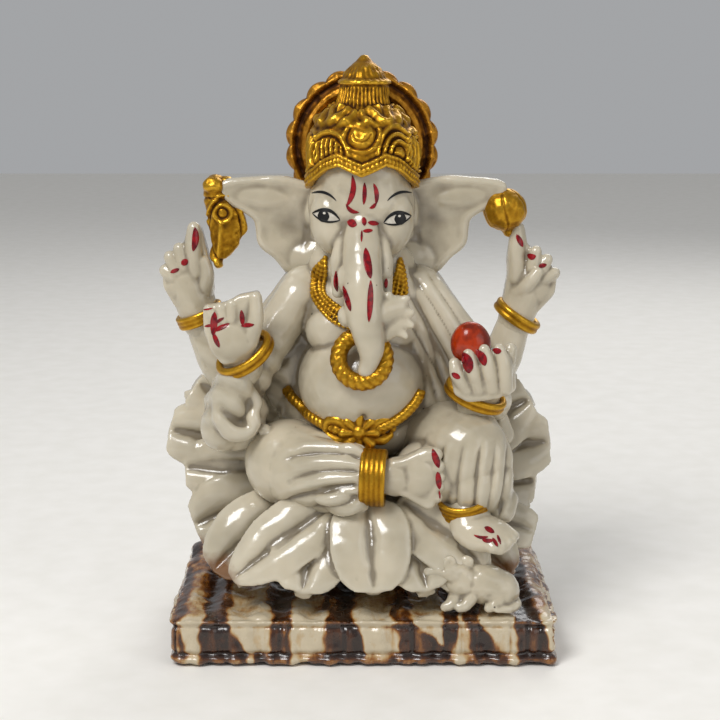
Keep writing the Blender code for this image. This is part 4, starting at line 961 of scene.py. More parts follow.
# The height of the crown's lower rim above the floor at each angle from its front, in degrees.
RIM = ((0, 108.4), (9, 109.2), (25, 110.7), (40, 109.8), (60, 107.4), (80, 105.8), (100, 105.0),
       (180, 104.6))
RIM_LEVEL = 105  # what the rim's heights are counted from
CROWN_DROP = 14.3  # from the middle of the crown down to its rim, in millimetres as all here are
CROWN_LEAN = 0.235  # how far it leans back for each millimetre of height
CROWN_FLAT = 0.92  # its depth as a share of its width
CROWN_RADIUS = 12.3  # the radius on which its chasing is laid out
BEAD = 0.95  # the spacing of the beads on its band
JEWEL_LEVEL = 12.8  # the height of a jewel's middle above the rim
JEWEL_WIDE = 3.3  # half of its width
JEWEL_TALL = 2.9  # half of its height
# The radius and the height above the rim, from inside the band out and up to the finial.
CROWN_PROFILE = ((0, 6), (8, 5), (11.2, 0.7), (11.9, 0.0), (12.5, 0.2), (12.8, 1.3), (12.65, 2.8),
                 (12.3, 5), (12.45, 8), (12.2, 10.6), (11.4, 13), (9.9, 15.4), (7.6, 17.6), (6.1, 19),
                 (5.7, 20.6), (5.5, 22.4), (5.4, 23.2), (5.95, 23.7), (5.9, 24.2), (5.0, 24.8), (4.5, 26),
                 (3.6, 27.2), (2.6, 28.1), (1.8, 28.7), (1.4, 29.2), (0.75, 29.9), (0.0, 30.1))


def crown():
    """The crown: a chased band, jewels and volutes, a leafy crest, a tier and a dome."""
    cap = centre("crown")
    foot = cap.z - CROWN_DROP

    def rim(angle):
        return np.interp(abs(math.degrees(angle)), *zip(*RIM)) - RIM_LEVEL + foot

    def place(radius, height, angle):
        z = foot + height + (rim(angle) - foot) * (1 - ease(height, 3, 12))
        lean = CROWN_LEAN * (z - foot)
        slip = 0.5 * ease(height, 14, 24)
        return v(cap.x + radius * math.sin(angle) + slip,
                 cap.y + 0.2 + lean - radius * math.cos(angle) * CROWN_FLAT, z)

    made = turned("gilt_crown", CROWN_PROFILE, 380, place)

    def relief(x, y, z, ways):
        lean = CROWN_LEAN * (z - foot)
        angle = np.arctan2(x - cap.x, -(y - cap.y - 0.2 - lean) / CROWN_FLAT)
        turn = np.degrees(angle)
        around = angle * CROWN_RADIUS
        above_rim = z - (np.interp(np.abs(turn), *zip(*RIM)) - RIM_LEVEL + foot)
        up = z - foot
        outside = ease(ways[:, 2], -0.9, -0.5) * ease(np.hypot(x - cap.x, y - cap.y - lean), 2, 3.2)
        beads = 0.5 + 0.5 * np.cos(around * 2 * math.pi / BEAD)
        band = 0
        for level, tall, beaded in ((0.45, 0.34, 0.2), (1.45, 0.4, 0.75), (2.55, 0.34, 0.3)):
            band = band + 0.42 * near(above_rim, level, tall) * (1 - beaded * beads)
        band = band - 0.3 * near(above_rim, 3.2, 0.28)
        zone = ease(above_rim, 3, 3.6) * (1 - ease(up, 17.2, 17.8))

        def lozenge(at):
            """0 at the middle of the jewel that is there, and 1 at its outline."""
            return np.hypot((around - at) / JEWEL_WIDE, (up - JEWEL_LEVEL) / JEWEL_TALL)

        raised = 0
        for at in (0, 24.5, -24.5, 38.6):
            jewel = lozenge(at + 0.3 * np.sin(up))
            raised = raised + 0.75 * (1 - ease(jewel, 0.55, 1.0))
            raised = raised - 0.4 * near(jewel, 1.08, 0.09) * (up < 14)
            raised = raised + 0.3 * near(jewel, 1.32, 0.16) * (up < 14)
            raised = raised - 0.4 * near(jewel, 0.62, 0.07) * (up < 12.6)
        clear = ease(lozenge(0), 1.35, 1.6)
        for at, side in ((-8.6, 1), (-16.6, -1), (-31, 1), (31, 1), (16.6, 1)):
            volute = np.hypot(around - at, (up - 8.0) * 1.05)
            raised = raised + clear * (0.55 * near(volute, 5.5, 0.5) - 0.5 * near(volute, 4.7, 0.3))
            flutes = np.cos((around - at) * 2 * math.pi / 1.35 + 0.25 * (up - 8) * side)
            raised = raised + 0.32 * flutes * (1 - ease(volute, 3.9, 4.5))
        for at in (9.2, 23.5):
            volute = np.hypot(around - at, (up - 8.4) * 0.95)
            for radius in (5.6, 4.1, 2.6):
                curl = 0.55 * near(volute, radius, 0.42) - 0.5 * near(volute, radius - 0.75, 0.3)
                raised = raised + clear * curl
            raised = raised + 0.5 * (1 - ease(volute, 0.6, 1.4))
        crest = 17.2 + 1.5 * np.abs(np.sin(np.radians(turn + 6) * 2.4)) ** 0.7
        leafy = ease(up, 13.8, 15.2) * (1 - ease(up, crest - 0.2, crest + 0.25))
        ribs = np.cos(np.abs(np.mod(turn + 6, 75) - 37.5) * 0.3 - up * 1.7 + grit(x, y, z, 2.6, 5))
        raised = raised * zone + leafy * (0.75 + 0.34 * ribs + 0.4 * grit(x, y, z, 2.2, 9))
        tier = ease(up, crest + 0.3, crest + 0.7) * (1 - ease(up, 22.6, 23))
        raised = raised + tier * 0.14 * np.cos(around * 2 * math.pi / 2.0)
        dome = ease(up, 24, 24.5) * (1 - ease(up, 27.2, 27.6))
        raised = raised + dome * 0.05 * np.cos(around * 2 * math.pi / 3.2)
        rough = 0.24 * grit(x, y, z, 1.9, 1) + 0.1 * grit(x, y, z, 0.75, 2)
        return outside * (band + raised * bpy.context.scene.idol_sizes.relief + rough)
    carve(made, relief)
    mark_hollows(made, 10, 1.5)
    return finish_piece(made, finish("gold"), ("crown",))


# The radius and the depth, from the middle of the front out over the ring and in at the back.
HALO_PROFILE = ((0, -1.2), (11.6, -1.2), (12.2, -1.9), (13.0, -2.5), (13.9, -2.2), (14.4, -1.5),
                (16.6, -1.5), (17.2, -1.0), (17.4, 0), (17.2, 1.2), (16.4, 1.9), (0, 1.9))
HALO_LOBES = 18


def halo():
    """The disc behind the head: a scalloped ring with a ray in each lobe, and petals behind."""
    disc = centre("halo")

    def place(radius, depth, angle):
        scallop = abs(math.cos(angle * HALO_LOBES / 2)) ** 0.8 - 0.5
        radius = radius * (1 + 0.062 * scallop * ease(radius, 14.2, 16.6))
        return disc + v(radius * math.sin(angle), depth, radius * math.cos(angle))

    made = turned("gilt_halo", HALO_PROFILE, 420, place)

    def relief(x, y, z, ways):
        far = np.hypot(x - disc.x, z - disc.z)
        angle = np.arctan2(x - disc.x, z - disc.z)
        front = ease(-ways[:, 1], 0.2, 0.7)
        back = ease(ways[:, 1], 0.2, 0.7)
        rays = ease(far, 14.3, 14.9) * (0.5 - np.abs(np.cos(angle * HALO_LOBES / 2 + math.pi / 2)) ** 0.7)
        cup = 0.5 * near(far, 16.4, 0.5) - 0.35 * near(far, 15.2, 0.4)
        groove = -0.3 * near(far, 11.6, 0.3) + 0.15 * near(far, 12.2, 0.2)
        rough = 0.22 * grit(x, y, z, 2.4, 7) + 0.12 * grit(x, y, z, 0.9, 8)
        petals = 0.4 * np.cos(angle * HALO_LOBES / 2) * ease(far, 6, 9) * (far < 16)
        petals = back * (petals - 0.5 * near(far, 6, 0.6))
        return front * (0.45 * rays + cup + groove) + petals + rough * (front + back)
    carve(made, relief)
    mark_hollows(made, 10, 1.3)
    return finish_piece(made, finish("old_gold"), ("halo", "halo_ring"))


# ---- Gold work -----------------------------------------------------------------------------
def lay_on(trees, points, lift):
    """Points of (x, z) dropped from the front onto the surfaces, and lifted off them."""
    laid = []
    for x, z in points:
        hits = [tree.ray_cast(v(x, -80, z) * MM, v(0, 1, 0)) for tree in trees]
        hits = [hit for hit in hits if hit[0] is not None]
        if hits:
            spot, way, _, _ = min(hits, key=lambda hit: hit[0].y)
            laid.append(spot / MM + way * lift)
    return laid


def trees_of(*names):
    """What lay_on needs of each of those pieces."""
    graph = bpy.context.evaluated_depsgraph_get()
    return [BVHTree.FromObject(bpy.data.objects[name], graph) for name in names]


def even_path(points, step):
    """The same smooth curve with its points a step apart."""
    path = [p for p, _ in smooth_path([(p, 1) for p in points], 12)]
    far = np.cumsum([0] + [(b - a).length for a, b in zip(path, path[1:])])
    spots = np.arange(0, far[-1], step)
    return [Vector(np.interp(s, far, [p[axis] for p in path]) for axis in range(3)) for s in spots]


def beaded(bm, points, radius, bead):
    """A strand whose thickness swells at each bead."""
    path = even_path(points, bead / 4)
    limb(bm, [(p, radius * (0.86 + 0.24 * math.cos(i * math.pi / 2))) for i, p in enumerate(path)],
         sides=10, steps=1)


def rope(bm, points, radius, strands, pitch):
    """Strands twisted about a path, each turn a pitch long."""
    path = even_path(points, pitch / 10)
    frames = ring_frames([(p, np.array([1.0])) for p in path], False)
    for strand in range(strands):
        twist = []
        for i, place in enumerate(frames):
            angle = 2 * math.pi * (i / 10 + strand / strands)
            twist.append((place @ v(math.cos(angle) * radius * 0.5, math.sin(angle) * radius * 0.5, 0),
                          radius * 0.58))
        limb(bm, twist, sides=10, steps=1)


def ring_points(middle, axis, radii, count=28):
    """Points of an oval ring about an axis."""
    axis = axis.normalized()
    side = axis.cross(v(0, 1, 0)).normalized()
    other = axis.cross(side)
    return [middle + side * (radii[0] * math.cos(a)) + other * (radii[1] * math.sin(a))
            for a in np.arange(count) * 2 * math.pi / count]


def stacked_rings(bm, middle, axis, radii, wire, number):
    """Rings side by side along a limb, as one ribbed bangle."""
    axis = axis.normalized()
    for i in range(number):
        shift = (i - (number - 1) / 2) * wire * 1.55
        points = ring_points(middle + axis * shift, axis, radii)
        limb(bm, [(p, (wire, wire)) for p in points], sides=12, steps=2, closed=True)


def gold_piece(name, bm, nodes, grain=0.22, relief=None):
    """A casting in bright bronze paint, with its chasing if it has any."""
    made = cast("gilt_" + name, bm, grain, 2)
    if relief:
        carve(made, relief)
    mark_hollows(made, 10, 1.5)
    return finish_piece(made, finish("gold"), nodes)


def bangles():
    """A ribbed bangle on each wrist, and one above each foot."""
    for name, number, wire, middle, axis, radii in (
        ("upper_right_bangle", 3, 0.62, (0.2, 0, 0.6), (-0.38, -0.1, 0.92), (5.2, 5)),
        ("upper_left_bangle", 2, 0.85, (0.2, 0, 0.4), (0.55, -0.1, 0.83), (5.2, 5)),
        ("lower_right_bangle", 2, 0.9, (0.4, 0.2, 1.6), (-0.5, -0.45, 0.75), (6.4, 5)),
        ("lower_left_bangle", 2, 0.85, (-0.4, 0.4, 1.2), (0.35, -0.3, 0.85), (6.6, 4.8)),
    ):
        bm = bmesh.new()
        stacked_rings(bm, centre(name) + v(*middle), v(*axis), radii, wire, number)
        gold_piece(name, bm, (name,))
    for name, number, wire, axis, radii in (
        ("folded_anklet", 5, 0.72, (1, -0.08, -0.04), (5.9, 5.5)),
        ("raised_anklet", 4, 0.66, (-0.12, -0.3, 0.9), (5.4, 5.2)),
    ):
        bm = bmesh.new()
        stacked_rings(bm, centre(name), v(*axis), radii, wire, number)
        gold_piece(name, bm, (name,))


def necklace():
    """Four beaded strands that hang in a U and pass behind the trunk."""
    trees = trees_of("figure_body")
    bm = bmesh.new()
    top = centre("necklace")
    for i in range(4):
        inset = i * 0.92
        shape = ((-8.2, 9.4), (-10.9 + inset, 6.2), (-11.4 + inset, 2.0),
                 (-9.6 + inset, -1.4 + inset * 0.5), (-6.6 + inset * 0.7, -4.2 + inset),
                 (-2.4, -5.6 + inset), (2.4, -5.6 + inset), (6.2 - inset * 0.7, -3.8 + inset),
                 (8.8 - inset, -0.6 + inset * 0.5), (9.8 - inset, 3.4), (8.4, 9.4))
        flat = [v(top.x + x, 0, top.z + z) for x, z in shape]
        smooth = [(p.x, p.z) for p in even_path(flat, 1.2)]
        laid = lay_on(trees, smooth, 0.45)
        beaded(bm, laid, 0.58, 1.0)
    gold_piece("necklace", bm, ("necklace",), 0.2)


def pendant_ring():
    """A thick ring of twisted wire that the trunk's tip rests in."""
    bm = bmesh.new()
    middle = centre("pendant_ring") + v(0, -3.4, 0.2)
    points = ring_points(middle, v(0, -0.95, 0.3), (5.2, 5.3), 36)
    rope(bm, points + points[:2], 1.9, 3, 4.6)
    stacked_rings(bm, middle + v(0, 0.4, 0), v(0, -0.95, 0.3), (5.2, 5.3), 1.2, 1)
    gold_piece("pendant_ring", bm, ("pendant_ring",))


def belt():
    """A twisted belt under the belly, and its buckle, a boss with scrolls."""
    trees = trees_of("figure_body", "folded_leg_cloth", "raised_leg_cloth")
    bm = bmesh.new()
    middle = centre("belt_buckle")
    flat = [v(x, 0, z) for x, z in ((-17.4, 58.2), (-15.4, 56.2), (-12, 54.2), (-8, 52.6), (-4, 52.0),
                                    (0, 51.6), (4, 52.4), (8, 54.4), (11, 57), (13.2, 60))]
    laid = lay_on(trees, [(p.x, p.z) for p in even_path(flat, 1.0)], 0.6)
    rope(bm, laid, 1.25, 3, 3.6)
    gold_piece("belt", bm, ("belt",))
    bm = bmesh.new()
    spot = lay_on(trees, [(middle.x - 0.6, middle.z + 0.6)], 0.8)[0]
    ball(bm, spot, (3.8, 1.5, 3.6), (10, 0, 0))
    ball(bm, spot + v(0, -1.3, 0.2), (1.6, 1.2, 1.6))
    for i in range(8):
        turn = 2 * math.pi * i / 8
        way = v(math.cos(turn), -0.1, math.sin(turn))
        limb(bm, [(spot + way * 1.6 + v(0, -1.0, 0), 0.75), (spot + way * 3.7 + v(0, -0.4, 0), 1.15)],
             sides=12)
    for side in (RIGHT, LEFT):
        limb(bm, [(spot + v(side * 2.6, -0.2, 1.0), 1.2), (spot + v(side * 4.6, 0, 2.8), 1.3),
                  (spot + v(side * 6.9, 0.9, 2.4), 1.1), (spot + v(side * 7.6, 1.3, 0.6), 0.9)])
        limb(bm, [(spot + v(side * 2.6, -0.2, -1.0), 1.2), (spot + v(side * 5.0, 0.3, -1.9), 1.3),
                  (spot + v(side * 7.0, 1.2, -1.0), 0.9)])
        ball(bm, spot + v(side * 5.0, 0, 0.6), (1.3, 1.0, 1.2))
    for dx in (-1.9, 0, 1.9):
        limb(bm, [(spot + v(dx, -0.4, -3.0), 1.2),
                  (spot + v(dx * 1.2, -0.2, -5.0 + abs(dx) * 0.5), 0.9)], sides=12)
    gold_piece("belt_buckle", bm, ("belt_buckle",))


def axe():
    """The axe head, with a raised spine, rim and scroll."""
    blade = centre("axe")
    bm = bmesh.new()
    limb(bm, [(blade + v(-2.2, -0.3, 8.6), (2.5, 2.4)), (blade + v(-2.0, -0.3, 5.2), (2.9, 2.4)),
              (blade + v(0, -0.2, 1.6), (4.3, 2.4)), (blade + v(0.1, -0.2, -3), (4, 2.3)),
              (blade + v(-1.2, -0.2, -7), (2.4, 1.8)), (blade + v(-1.9, -0.2, -9.4), (1.0, 1.1))], sides=24)
    limb(bm, [(blade + v(0.2, 0, 8.8), 1.9), (blade + v(1.6, 0.4, 4), 2), (blade + v(2.6, 0.4, 0), 2)])
    ball(bm, blade + v(-2.4, -1.2, 8.4), (2.6, 2.2, 2.3))

    def chased(x, y, z, ways):
        across, up = x - blade.x, z - blade.z
        edge = np.hypot(across / 4.6, (up + 2) / 8.4)
        scroll = np.hypot(across + 0.4, up - 2.2)
        spine = np.abs(across + 0.8 - 0.1 * up)
        marks = -0.4 * near(up, 5.6, 0.35) + 0.45 * near(edge, 0.98, 0.06) - 0.4 * near(edge, 0.84, 0.05)
        marks = marks + 0.4 * near(scroll, 2.0, 0.4) - 0.35 * near(scroll, 1.2, 0.3)
        marks = marks + 0.5 * near(spine, 0, 0.6) * (up < 0)
        return marks + 0.22 * grit(x, y, z, 1.5, 3) + 0.1 * grit(x, y, z, 0.7, 4)
    gold_piece("axe", bm, ("axe",), 0.24, relief=chased)


def lotus_bud():
    """The closed bud, with a line between its petals."""
    bud = centre("lotus_bud")
    bm = bmesh.new()
    ball(bm, bud + v(-0.2, -0.4, 1.1), (5.1, 4.7, 5.0), fine=4)
    limb(bm, [(bud + v(0.2, -0.2, -1), 3.6), (bud + v(1.0, 0, -4), 1.5)])

    def petals(x, y, z, ways):
        angle = np.arctan2(x - bud.x + 0.2, -(y - bud.y + 0.4))
        up = z - bud.z
        lines = -0.22 * np.exp(-((np.abs(np.sin(angle * 2.5 + 0.15 * up)) / 0.16) ** 2)) * (up > -4)
        return lines + 0.16 * grit(x, y, z, 1.8, 5) + 0.08 * grit(x, y, z, 0.8, 6)
    gold_piece("lotus_bud", bm, ("lotus_bud",), 0.24, relief=petals)


def modak():
    """The sweet: a smooth orange dome, flat where the fingers hold it."""
    sweet = centre("modak")
    bm = bmesh.new()
    ball(bm, sweet + v(-0.6, -0.8, 1.2), (4.5, 3.9, 5.2), (0, -8, 0), fine=4)
    ball(bm, sweet + v(0, 0, -2.4), (3.8, 3.2, 3))
    made = cast("orange_modak", bm, 0.26, 4)
    carve(made, lambda x, y, z, ways: 0.12 * grit(x, y, z, 2.6, 4))
    mark_hollows(made)
    finish_piece(made, finish("orange"), ("modak",))


# ---- Mouse ---------------------------------------------------------------------------------
def mouse(bm):
    """The small crouching mouse, whose head points to the figure's right."""
    low = corner("mouse", 0, 0, 0)

    def at(x, y, z):
        return low + v(x, y, z)

    ball(bm, at(14.6, 4.2, 3.0), (7.8, 4.4, 4.6), (0, 12, 0), fine=4)
    ball(bm, at(18.4, 4.4, 1.4), (4.4, 4.5, 4.7), fine=4)
    ball(bm, at(9.8, 3.6, 4.0), (4.6, 3.8, 4.0), fine=4)
    limb(bm, [(at(9.4, 3.2, 5.4), 3.2), (at(6.4, 2.6, 6.8), (2.9, 2.6)), (at(3.4, 2.0, 6.8), (1.9, 1.7)),
              (at(2.0, 1.8, 6.6), (1.2, 1.1))])
    for x, y, z, wide in ((6.8, 1.0, 9.2, 1.5), (10.6, 2.6, 8.6, 1.7)):
        ball(bm, at(x, y, z), (wide, 0.9, wide * 0.95), (0, -20, 0))
    for x, y in ((7.4, 0.9), (10.6, 0.3), (17.2, 0.2)):
        limb(bm, [(at(x + 1.4, y + 1.8, 1.4), 2.0), (at(x, y + 0.6, -0.6), 1.5),
                  (at(x - 1.6, y + 0.2, -1.4), 1.1)])
    ball(bm, at(17.4, 1.6, 1.8), (3.6, 1.8, 3.2), (0, 25, 0))
    limb(bm, [(at(21.4, 4.4, -0.4), 1.2), (at(22.2, 2.4, -1.4), 1.1), (at(20.2, 0.2, -1.6), 0.9),
              (at(17.4, -0.6, -1.6), 0.7)])


def mouse_marks(obj):
    """Its eye, the cup of its ear and its fur."""
    low = corner("mouse", 0, 0, 0)

    def depth(x, y, z, ways):
        eye = -0.5 * near(np.hypot(x - low.x - 5.2, z - low.z - 7.8), 0, 0.5) * (y < low.y + 3)
        cup = -0.5 * near(np.hypot(x - low.x - 6.8, z - low.z - 9.2), 0, 0.8) * (y < low.y + 1)
        fur = 0.12 * grit(x, y, z, 1.2, 2) + 0.1 * grit(x, y, z, 3, 3)
        return eye + cup + fur
    carve(obj, depth)


# ---- Painted marks -------------------------------------------------------------------------
# Crimson strokes: where each starts and ends, as (x, z) from the middle of its part, how wide it
# is, and how far it bows to the left of its run.
CRIMSON = {
    "head": (
        ((-2.1, 9.8), (-3.4, 3.0), 1.25, 0.8), ((-3.5, 3.5), (-0.6, 1.7), 0.95, -0.6),
        ((0.6, 8.2), (0.4, 3.4), 0.95, 0.1), ((2.6, 8.0), (3.1, 3.4), 1.0, 0.4),
        ((3.2, 3.8), (1.7, 2.6), 0.8, 0.2), ((-3.2, -0.4), (-1.1, -0.9), 1.7, 0),
        ((0.4, 0.7), (0.6, -1.1), 1.1, 0), ((1.3, -0.4), (3.8, -0.9), 1.0, 0),
        ((0.2, -2.2), (2.4, -2.1), 0.8, 0), ((0, -2.0), (-0.1, -4.4), 0.5, 0),
        ((0.8, -5.6), (1.9, -11.8), 1.7, -0.1), ((1.9, -12.2), (1.5, -20.9), 1.3, 0.1),
        ((-4.0, -13.7), (-2.4, -18.8), 1.25, 0), ((-5.6, -10.9), (-5.4, -15.4), 1.1, -0.2),
        ((5.4, -12.6), (5.3, -14.9), 0.8, 0),
    ),
    "upper_right_hand": (
        ((2.6, 10.6), (2.2, 5.2), 1.5, 0.3), ((-0.6, 2.1), (0.9, 3.1), 1.5, 0),
        ((-3.2, 0.2), (-1.1, 1.1), 0.95, 0),
    ),
    "lower_right_hand": (
        ((-3.8, 3.8), (-4.2, -1.5), 1.6, 0), ((-4.2, -0.8), (-2.8, -4.0), 1.15, 0),
        ((-4.1, 1.1), (-1.7, 2.6), 0.75, 0),
        ((-4.2, -0.5), (-0.5, 1.3), 1.05, 0), ((-6.1, 0.5), (-3.8, 1.0), 0.65, 0),
        ((2.1, 4.2), (2.4, 0.7), 1.1, 0),
        ((2.0, 0.7), (5.0, 1.2), 0.95, 0), ((-6.4, 4.2), (-4.2, 4.6), 0.35, 0),
    ),
    "upper_left_hand": (
        ((-3.4, 9.4), (-1.9, 6.5), 1.2, 0), ((-0.8, 4.5), (1.1, 4.4), 1.4, -0.2),
        ((1.7, 2.0), (3.6, 2.5), 1.0, 0),
    ),
    "lower_left_hand": (
        ((-5.0, 6.9), (-3.9, 2.5), 2.4, 0.2), ((-2.3, 7.5), (-0.4, 4.2), 1.9, 0.3),
        ((1.4, 7.2), (3.2, 7.3), 1.3, 0),
        ((-7.7, 2.4), (-5.9, 1.3), 1.2, 0),
    ),
    "folded_foot": (
        ((3.8, 7.4), (5.2, 3.3), 1.5, 0), ((4.9, 2.4), (5.4, -1.7), 1.35, 0),
        ((5.3, -1.9), (5.5, -3.9), 0.45, 0),
    ),
    "raised_foot": (
        ((-2.9, 0.4), (0.3, 0.1), 0.6, -0.3), ((-0.5, 1.9), (1.7, 0.9), 1.0, 0),
        ((-1.1, -0.5), (1.4, -0.5), 0.85, -0.2),
        ((1.2, -0.1), (2.4, -1.8), 0.8, 0), ((2.3, 0.4), (3.0, -1.3), 0.65, 0),
    ),
}


COAT = 0.3  # how far a coat of paint reaches in, in millimetres
STEP = 0.3  # the spacing of a stroke's rows
FALL = 1.5  # a stroke doesn't follow a surface that falls away faster than this


def stroke(bm, trees, middle, start, end, width, bow=0.0, taper=0.6, lift=0.08):
    """A coat of paint drawn from start to end, thin at both ends, on what lies behind it."""
    start, run = np.array(start), np.subtract(end, start)
    length = float(np.hypot(*run))
    left = np.array([-run[1], run[0]]) / length
    made = bmesh.ops.create_grid(bm, x_segments=8, y_segments=max(10, int(length / STEP)), size=1)["verts"]
    last = None
    for vert in made:
        t = (vert.co.y + 1) / 2
        swell = 4 * t * (1 - t)
        aside = bow * swell + vert.co.x * width / 2 * max(0.1, swell**taper)
        x, z = start + run * t + left * aside + (middle.x, middle.z)
        laid = lay_on(trees, [(x, z)], lift)
        last = laid[0] if laid and (last is None or laid[0].y - last.y < FALL) else v(x, last.y, z)
        vert.co = last
    faces = list({f for vert in made for f in vert.link_faces})
    grown = bmesh.ops.extrude_face_region(bm, geom=faces)["geom"]
    moved = [part for part in grown if isinstance(part, bmesh.types.BMVert)]
    bmesh.ops.translate(bm, verts=moved, vec=v(0, COAT, 0))


def painted(name, paint, strokes, surfaces, node):
    """One piece of paint: all the strokes of that paint on a part."""
    bm = bmesh.new()
    for args in strokes:
        stroke(bm, trees_of(*surfaces), centre(node), *args)
    bmesh.ops.recalc_face_normals(bm, faces=bm.faces[:])
    finish_piece(mesh_object(name, bm), finish(paint), ())


def painted_marks():
    """Crimson on the brow, trunk, palms, fingertips and toes, the almond eyes and brows, and a painted
    highlight dot on each pupil.
    """
    for node, strokes in CRIMSON.items():
        surfaces = {"head": ["head_and_trunk", "right_tusk_bare", "left_tusk_bare"],
                    "lower_left_hand": ["lower_left_hand_bare", "orange_modak"]}.get(node, [f"{node}_bare"])
        painted(f"red_on_{node}", "red", strokes, surfaces, node)
    whites, lines, painted_highlights = [], [], []
    for side, rise in ((RIGHT, 0.6), (LEFT, 0.0)):
        def at(x, z):
            """A point beside the middle of the head, on this eye's side."""
            return side * x, z + rise

        inner, outer = at(4.8, -0.7), at(11.0, 0.6)
        whites.append((inner, outer, 2.5, side * 0.3, 1.0, 0.05))
        # A white dot on each pupil is a painted highlight.
        painted_highlights.append((at(8.0, 0.7), at(8.6, 0.8), 0.5, 0, 0.5, 0.2))
        lines += [
            (inner, outer, 0.75, side * 1.55, 0.35, 0.14),
            (inner, outer, 0.45, side * -1.0, 0.35, 0.14),
            (at(7.2, 0), at(9.8, 0.2), 2.6, 0, 0.5, 0.1),
            (at(5.6, 4.1 - rise), at(11.3, 5.3 - rise), 0.6, side * 1.05, 0.5),
        ]
    painted("eye_whites", "white", whites, ["head_and_trunk"], "head")
    painted("eye_lines_and_brows", "black", lines, ["head_and_trunk"], "head")
    painted("painted_eye_highlights", "white", painted_highlights, ["head_and_trunk"], "head")


# ---- Stage ---------------------------------------------------------------------------------
FLOOR_HALF = 1.5  # metres
FLOOR_DROP = 0.05 * MM  # the floor lies this far under the block
CAMERA_PLACE = (0, -0.371, 0.135)
CAMERA_DIP = 10.69  # degrees below level
LENS = 81.05
SENSOR = 36
IMAGE_WIDTH = 720
ASIDE = -2  # how far the view is shifted, in steps of the image's width
NEAREST = 0.01


def stage():
    """A pale sweep of floor, a soft key light from the upper left front, and fills."""
    sizes = bpy.context.scene.idol_stage
    floor_bm = bmesh.new()
    bmesh.ops.create_grid(floor_bm, x_segments=1, y_segments=1, size=FLOOR_HALF)
    bmesh.ops.translate(floor_bm, verts=floor_bm.verts[:], vec=v(0, 0, -FLOOR_DROP))
    floor = mesh_object("floor", floor_bm)
    made, tree, shader, place = start_finish("matt_card_pale")
    weave = add(tree, "TexNoise", Vector=place, Scale=per_mm(9), Detail=2.0)
    tone = add(tree, "ValToRGB", Fac=weave, stops=((0.3, sizes.floor), (0.7, "#f5f2ec")))
    fill(tree, shader, Base_Color=tone, Roughness=0.85)
    floor.data.materials.append(made)
    world = bpy.data.worlds.new("soft_room")
    world.use_nodes = True
    sky = world.node_tree.nodes["Background"]
    sky.inputs["Color"].default_value = linear("#e9ebee")
    sky.inputs["Strength"].default_value = sizes.room_light
    bpy.context.scene.world = world
    bpy.context.scene.view_settings.view_transform = "Standard"
    for name, spot, aim, size, power in (
        ("key_light", (-0.28, -0.42, 0.62), (0, 0, 0.06), 0.34, sizes.key_power),
        ("fill_light", (0.5, -0.4, 0.3), (0, 0, 0.06), 0.5, sizes.key_power * 0.16),
        ("rim_light", (0.2, 0.5, 0.5), (0, 0, 0.08), 0.4, sizes.key_power * 0.3),
    ):
        lamp = bpy.data.lights.new(name, "AREA")
        lamp.shape = "DISK"
        lamp.size = size
        lamp.energy = power
        obj = bpy.data.objects.new(name, lamp)
        obj.location = spot
        obj.rotation_euler = (v(*aim) - v(*spot)).to_track_quat("-Z", "Y").to_euler()
        bpy.context.scene.collection.objects.link(obj)
    lens = bpy.data.cameras.new("front_camera")
    lens.lens = LENS
    lens.sensor_width = SENSOR
    lens.shift_x = ASIDE / IMAGE_WIDTH
    lens.clip_start = NEAREST
    camera = bpy.data.objects.new("front_camera", lens)
    camera.location = CAMERA_PLACE
    camera.rotation_euler = (math.radians(90 - CAMERA_DIP), 0, 0)
    bpy.context.scene.collection.objects.link(camera)
    bpy.context.scene.camera = camera


# ---- The pieces, each made and finished ------------------------------------------------------
def resin_piece(name, build, nodes, carving=None, grain=None, stain=None, smoothing=5):
    """A casting in cream resin: lumps, one skin, its carving, and its grime."""
    bm = bmesh.new()
    build(bm)
    made = cast(name, bm, grain or bpy.context.scene.idol_sizes.grain, smoothing)
    if carving:
        carving(made)
    else:
        carve(made, lambda x, y, z, ways: 0.14 * grit(x, y, z, 4, 1) + 0.06 * grit(x, y, z, 1.6, 2))
    mark_hollows(made, 14, 1.1, 0.2)
    if stain:
        spots, _ = points_of(made)
        store(made, "stain", stain(*spots.T))
    return finish_piece(made, finish("resin"), nodes)


def make_block():
    """The block: a tapered cube with soft edges, carved, and stained in bands."""
    low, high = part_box("base_block")
    low, high = Vector(low) / MM, Vector(high) / MM
    bm = bmesh.new()
    cube = bmesh.ops.create_cube(bm, size=1, matrix=Matrix.Translation((low + high) / 2)
                                 @ Matrix.Diagonal((*(high - low), 1)))
    for vert in cube["verts"]:
        if vert.co.z > LIP / 2:
            vert.co.z = high.z
            vert.co.y = vert.co.y * BLOCK_TAPER
            if vert.co.y < 0:
                vert.co.z -= FRONT_DROP
    bmesh.ops.bevel(bm, geom=bm.edges[:], offset=BLOCK_ROUND, offset_type="OFFSET", segments=5, profile=0.5,
                    affect="EDGES", material=-1)
    made = cast("stained_block", bm, 0.44, 3)
    block_shape(made)
    mark_hollows(made, 16, 0.7)
    spots, _ = points_of(made)
    store(made, "stain", streak_mask(*spots.T))
    spots[:, 2] = np.maximum(spots[:, 2] - spots[:, 2].min(), 0)
    move_points(made, spots)
    finish_piece(made, finish("block"), ("base_block",))


def petal_stain(x, y, z):
    """Brown wiped up from the block onto the lowest petals at the back and sides."""
    return (1 - ease(z, 17, 26)) * ease(np.abs(x), 24, 33)


def make_lotus():
    resin_piece("lotus_front", lotus_front, ["lotus_seat"] + [f"front_petal_{i}" for i in range(1, 8)]
                + [f"rear_petal_{i}" for i in range(1, 4)], leafy_skin, 0.44, petal_stain)
    resin_piece("lotus_sides", lotus_sides, [f"{side}_petal_{i}" for side in ("left", "right")
                                             for i in range(1, 5)], leafy_skin, 0.4, petal_stain)


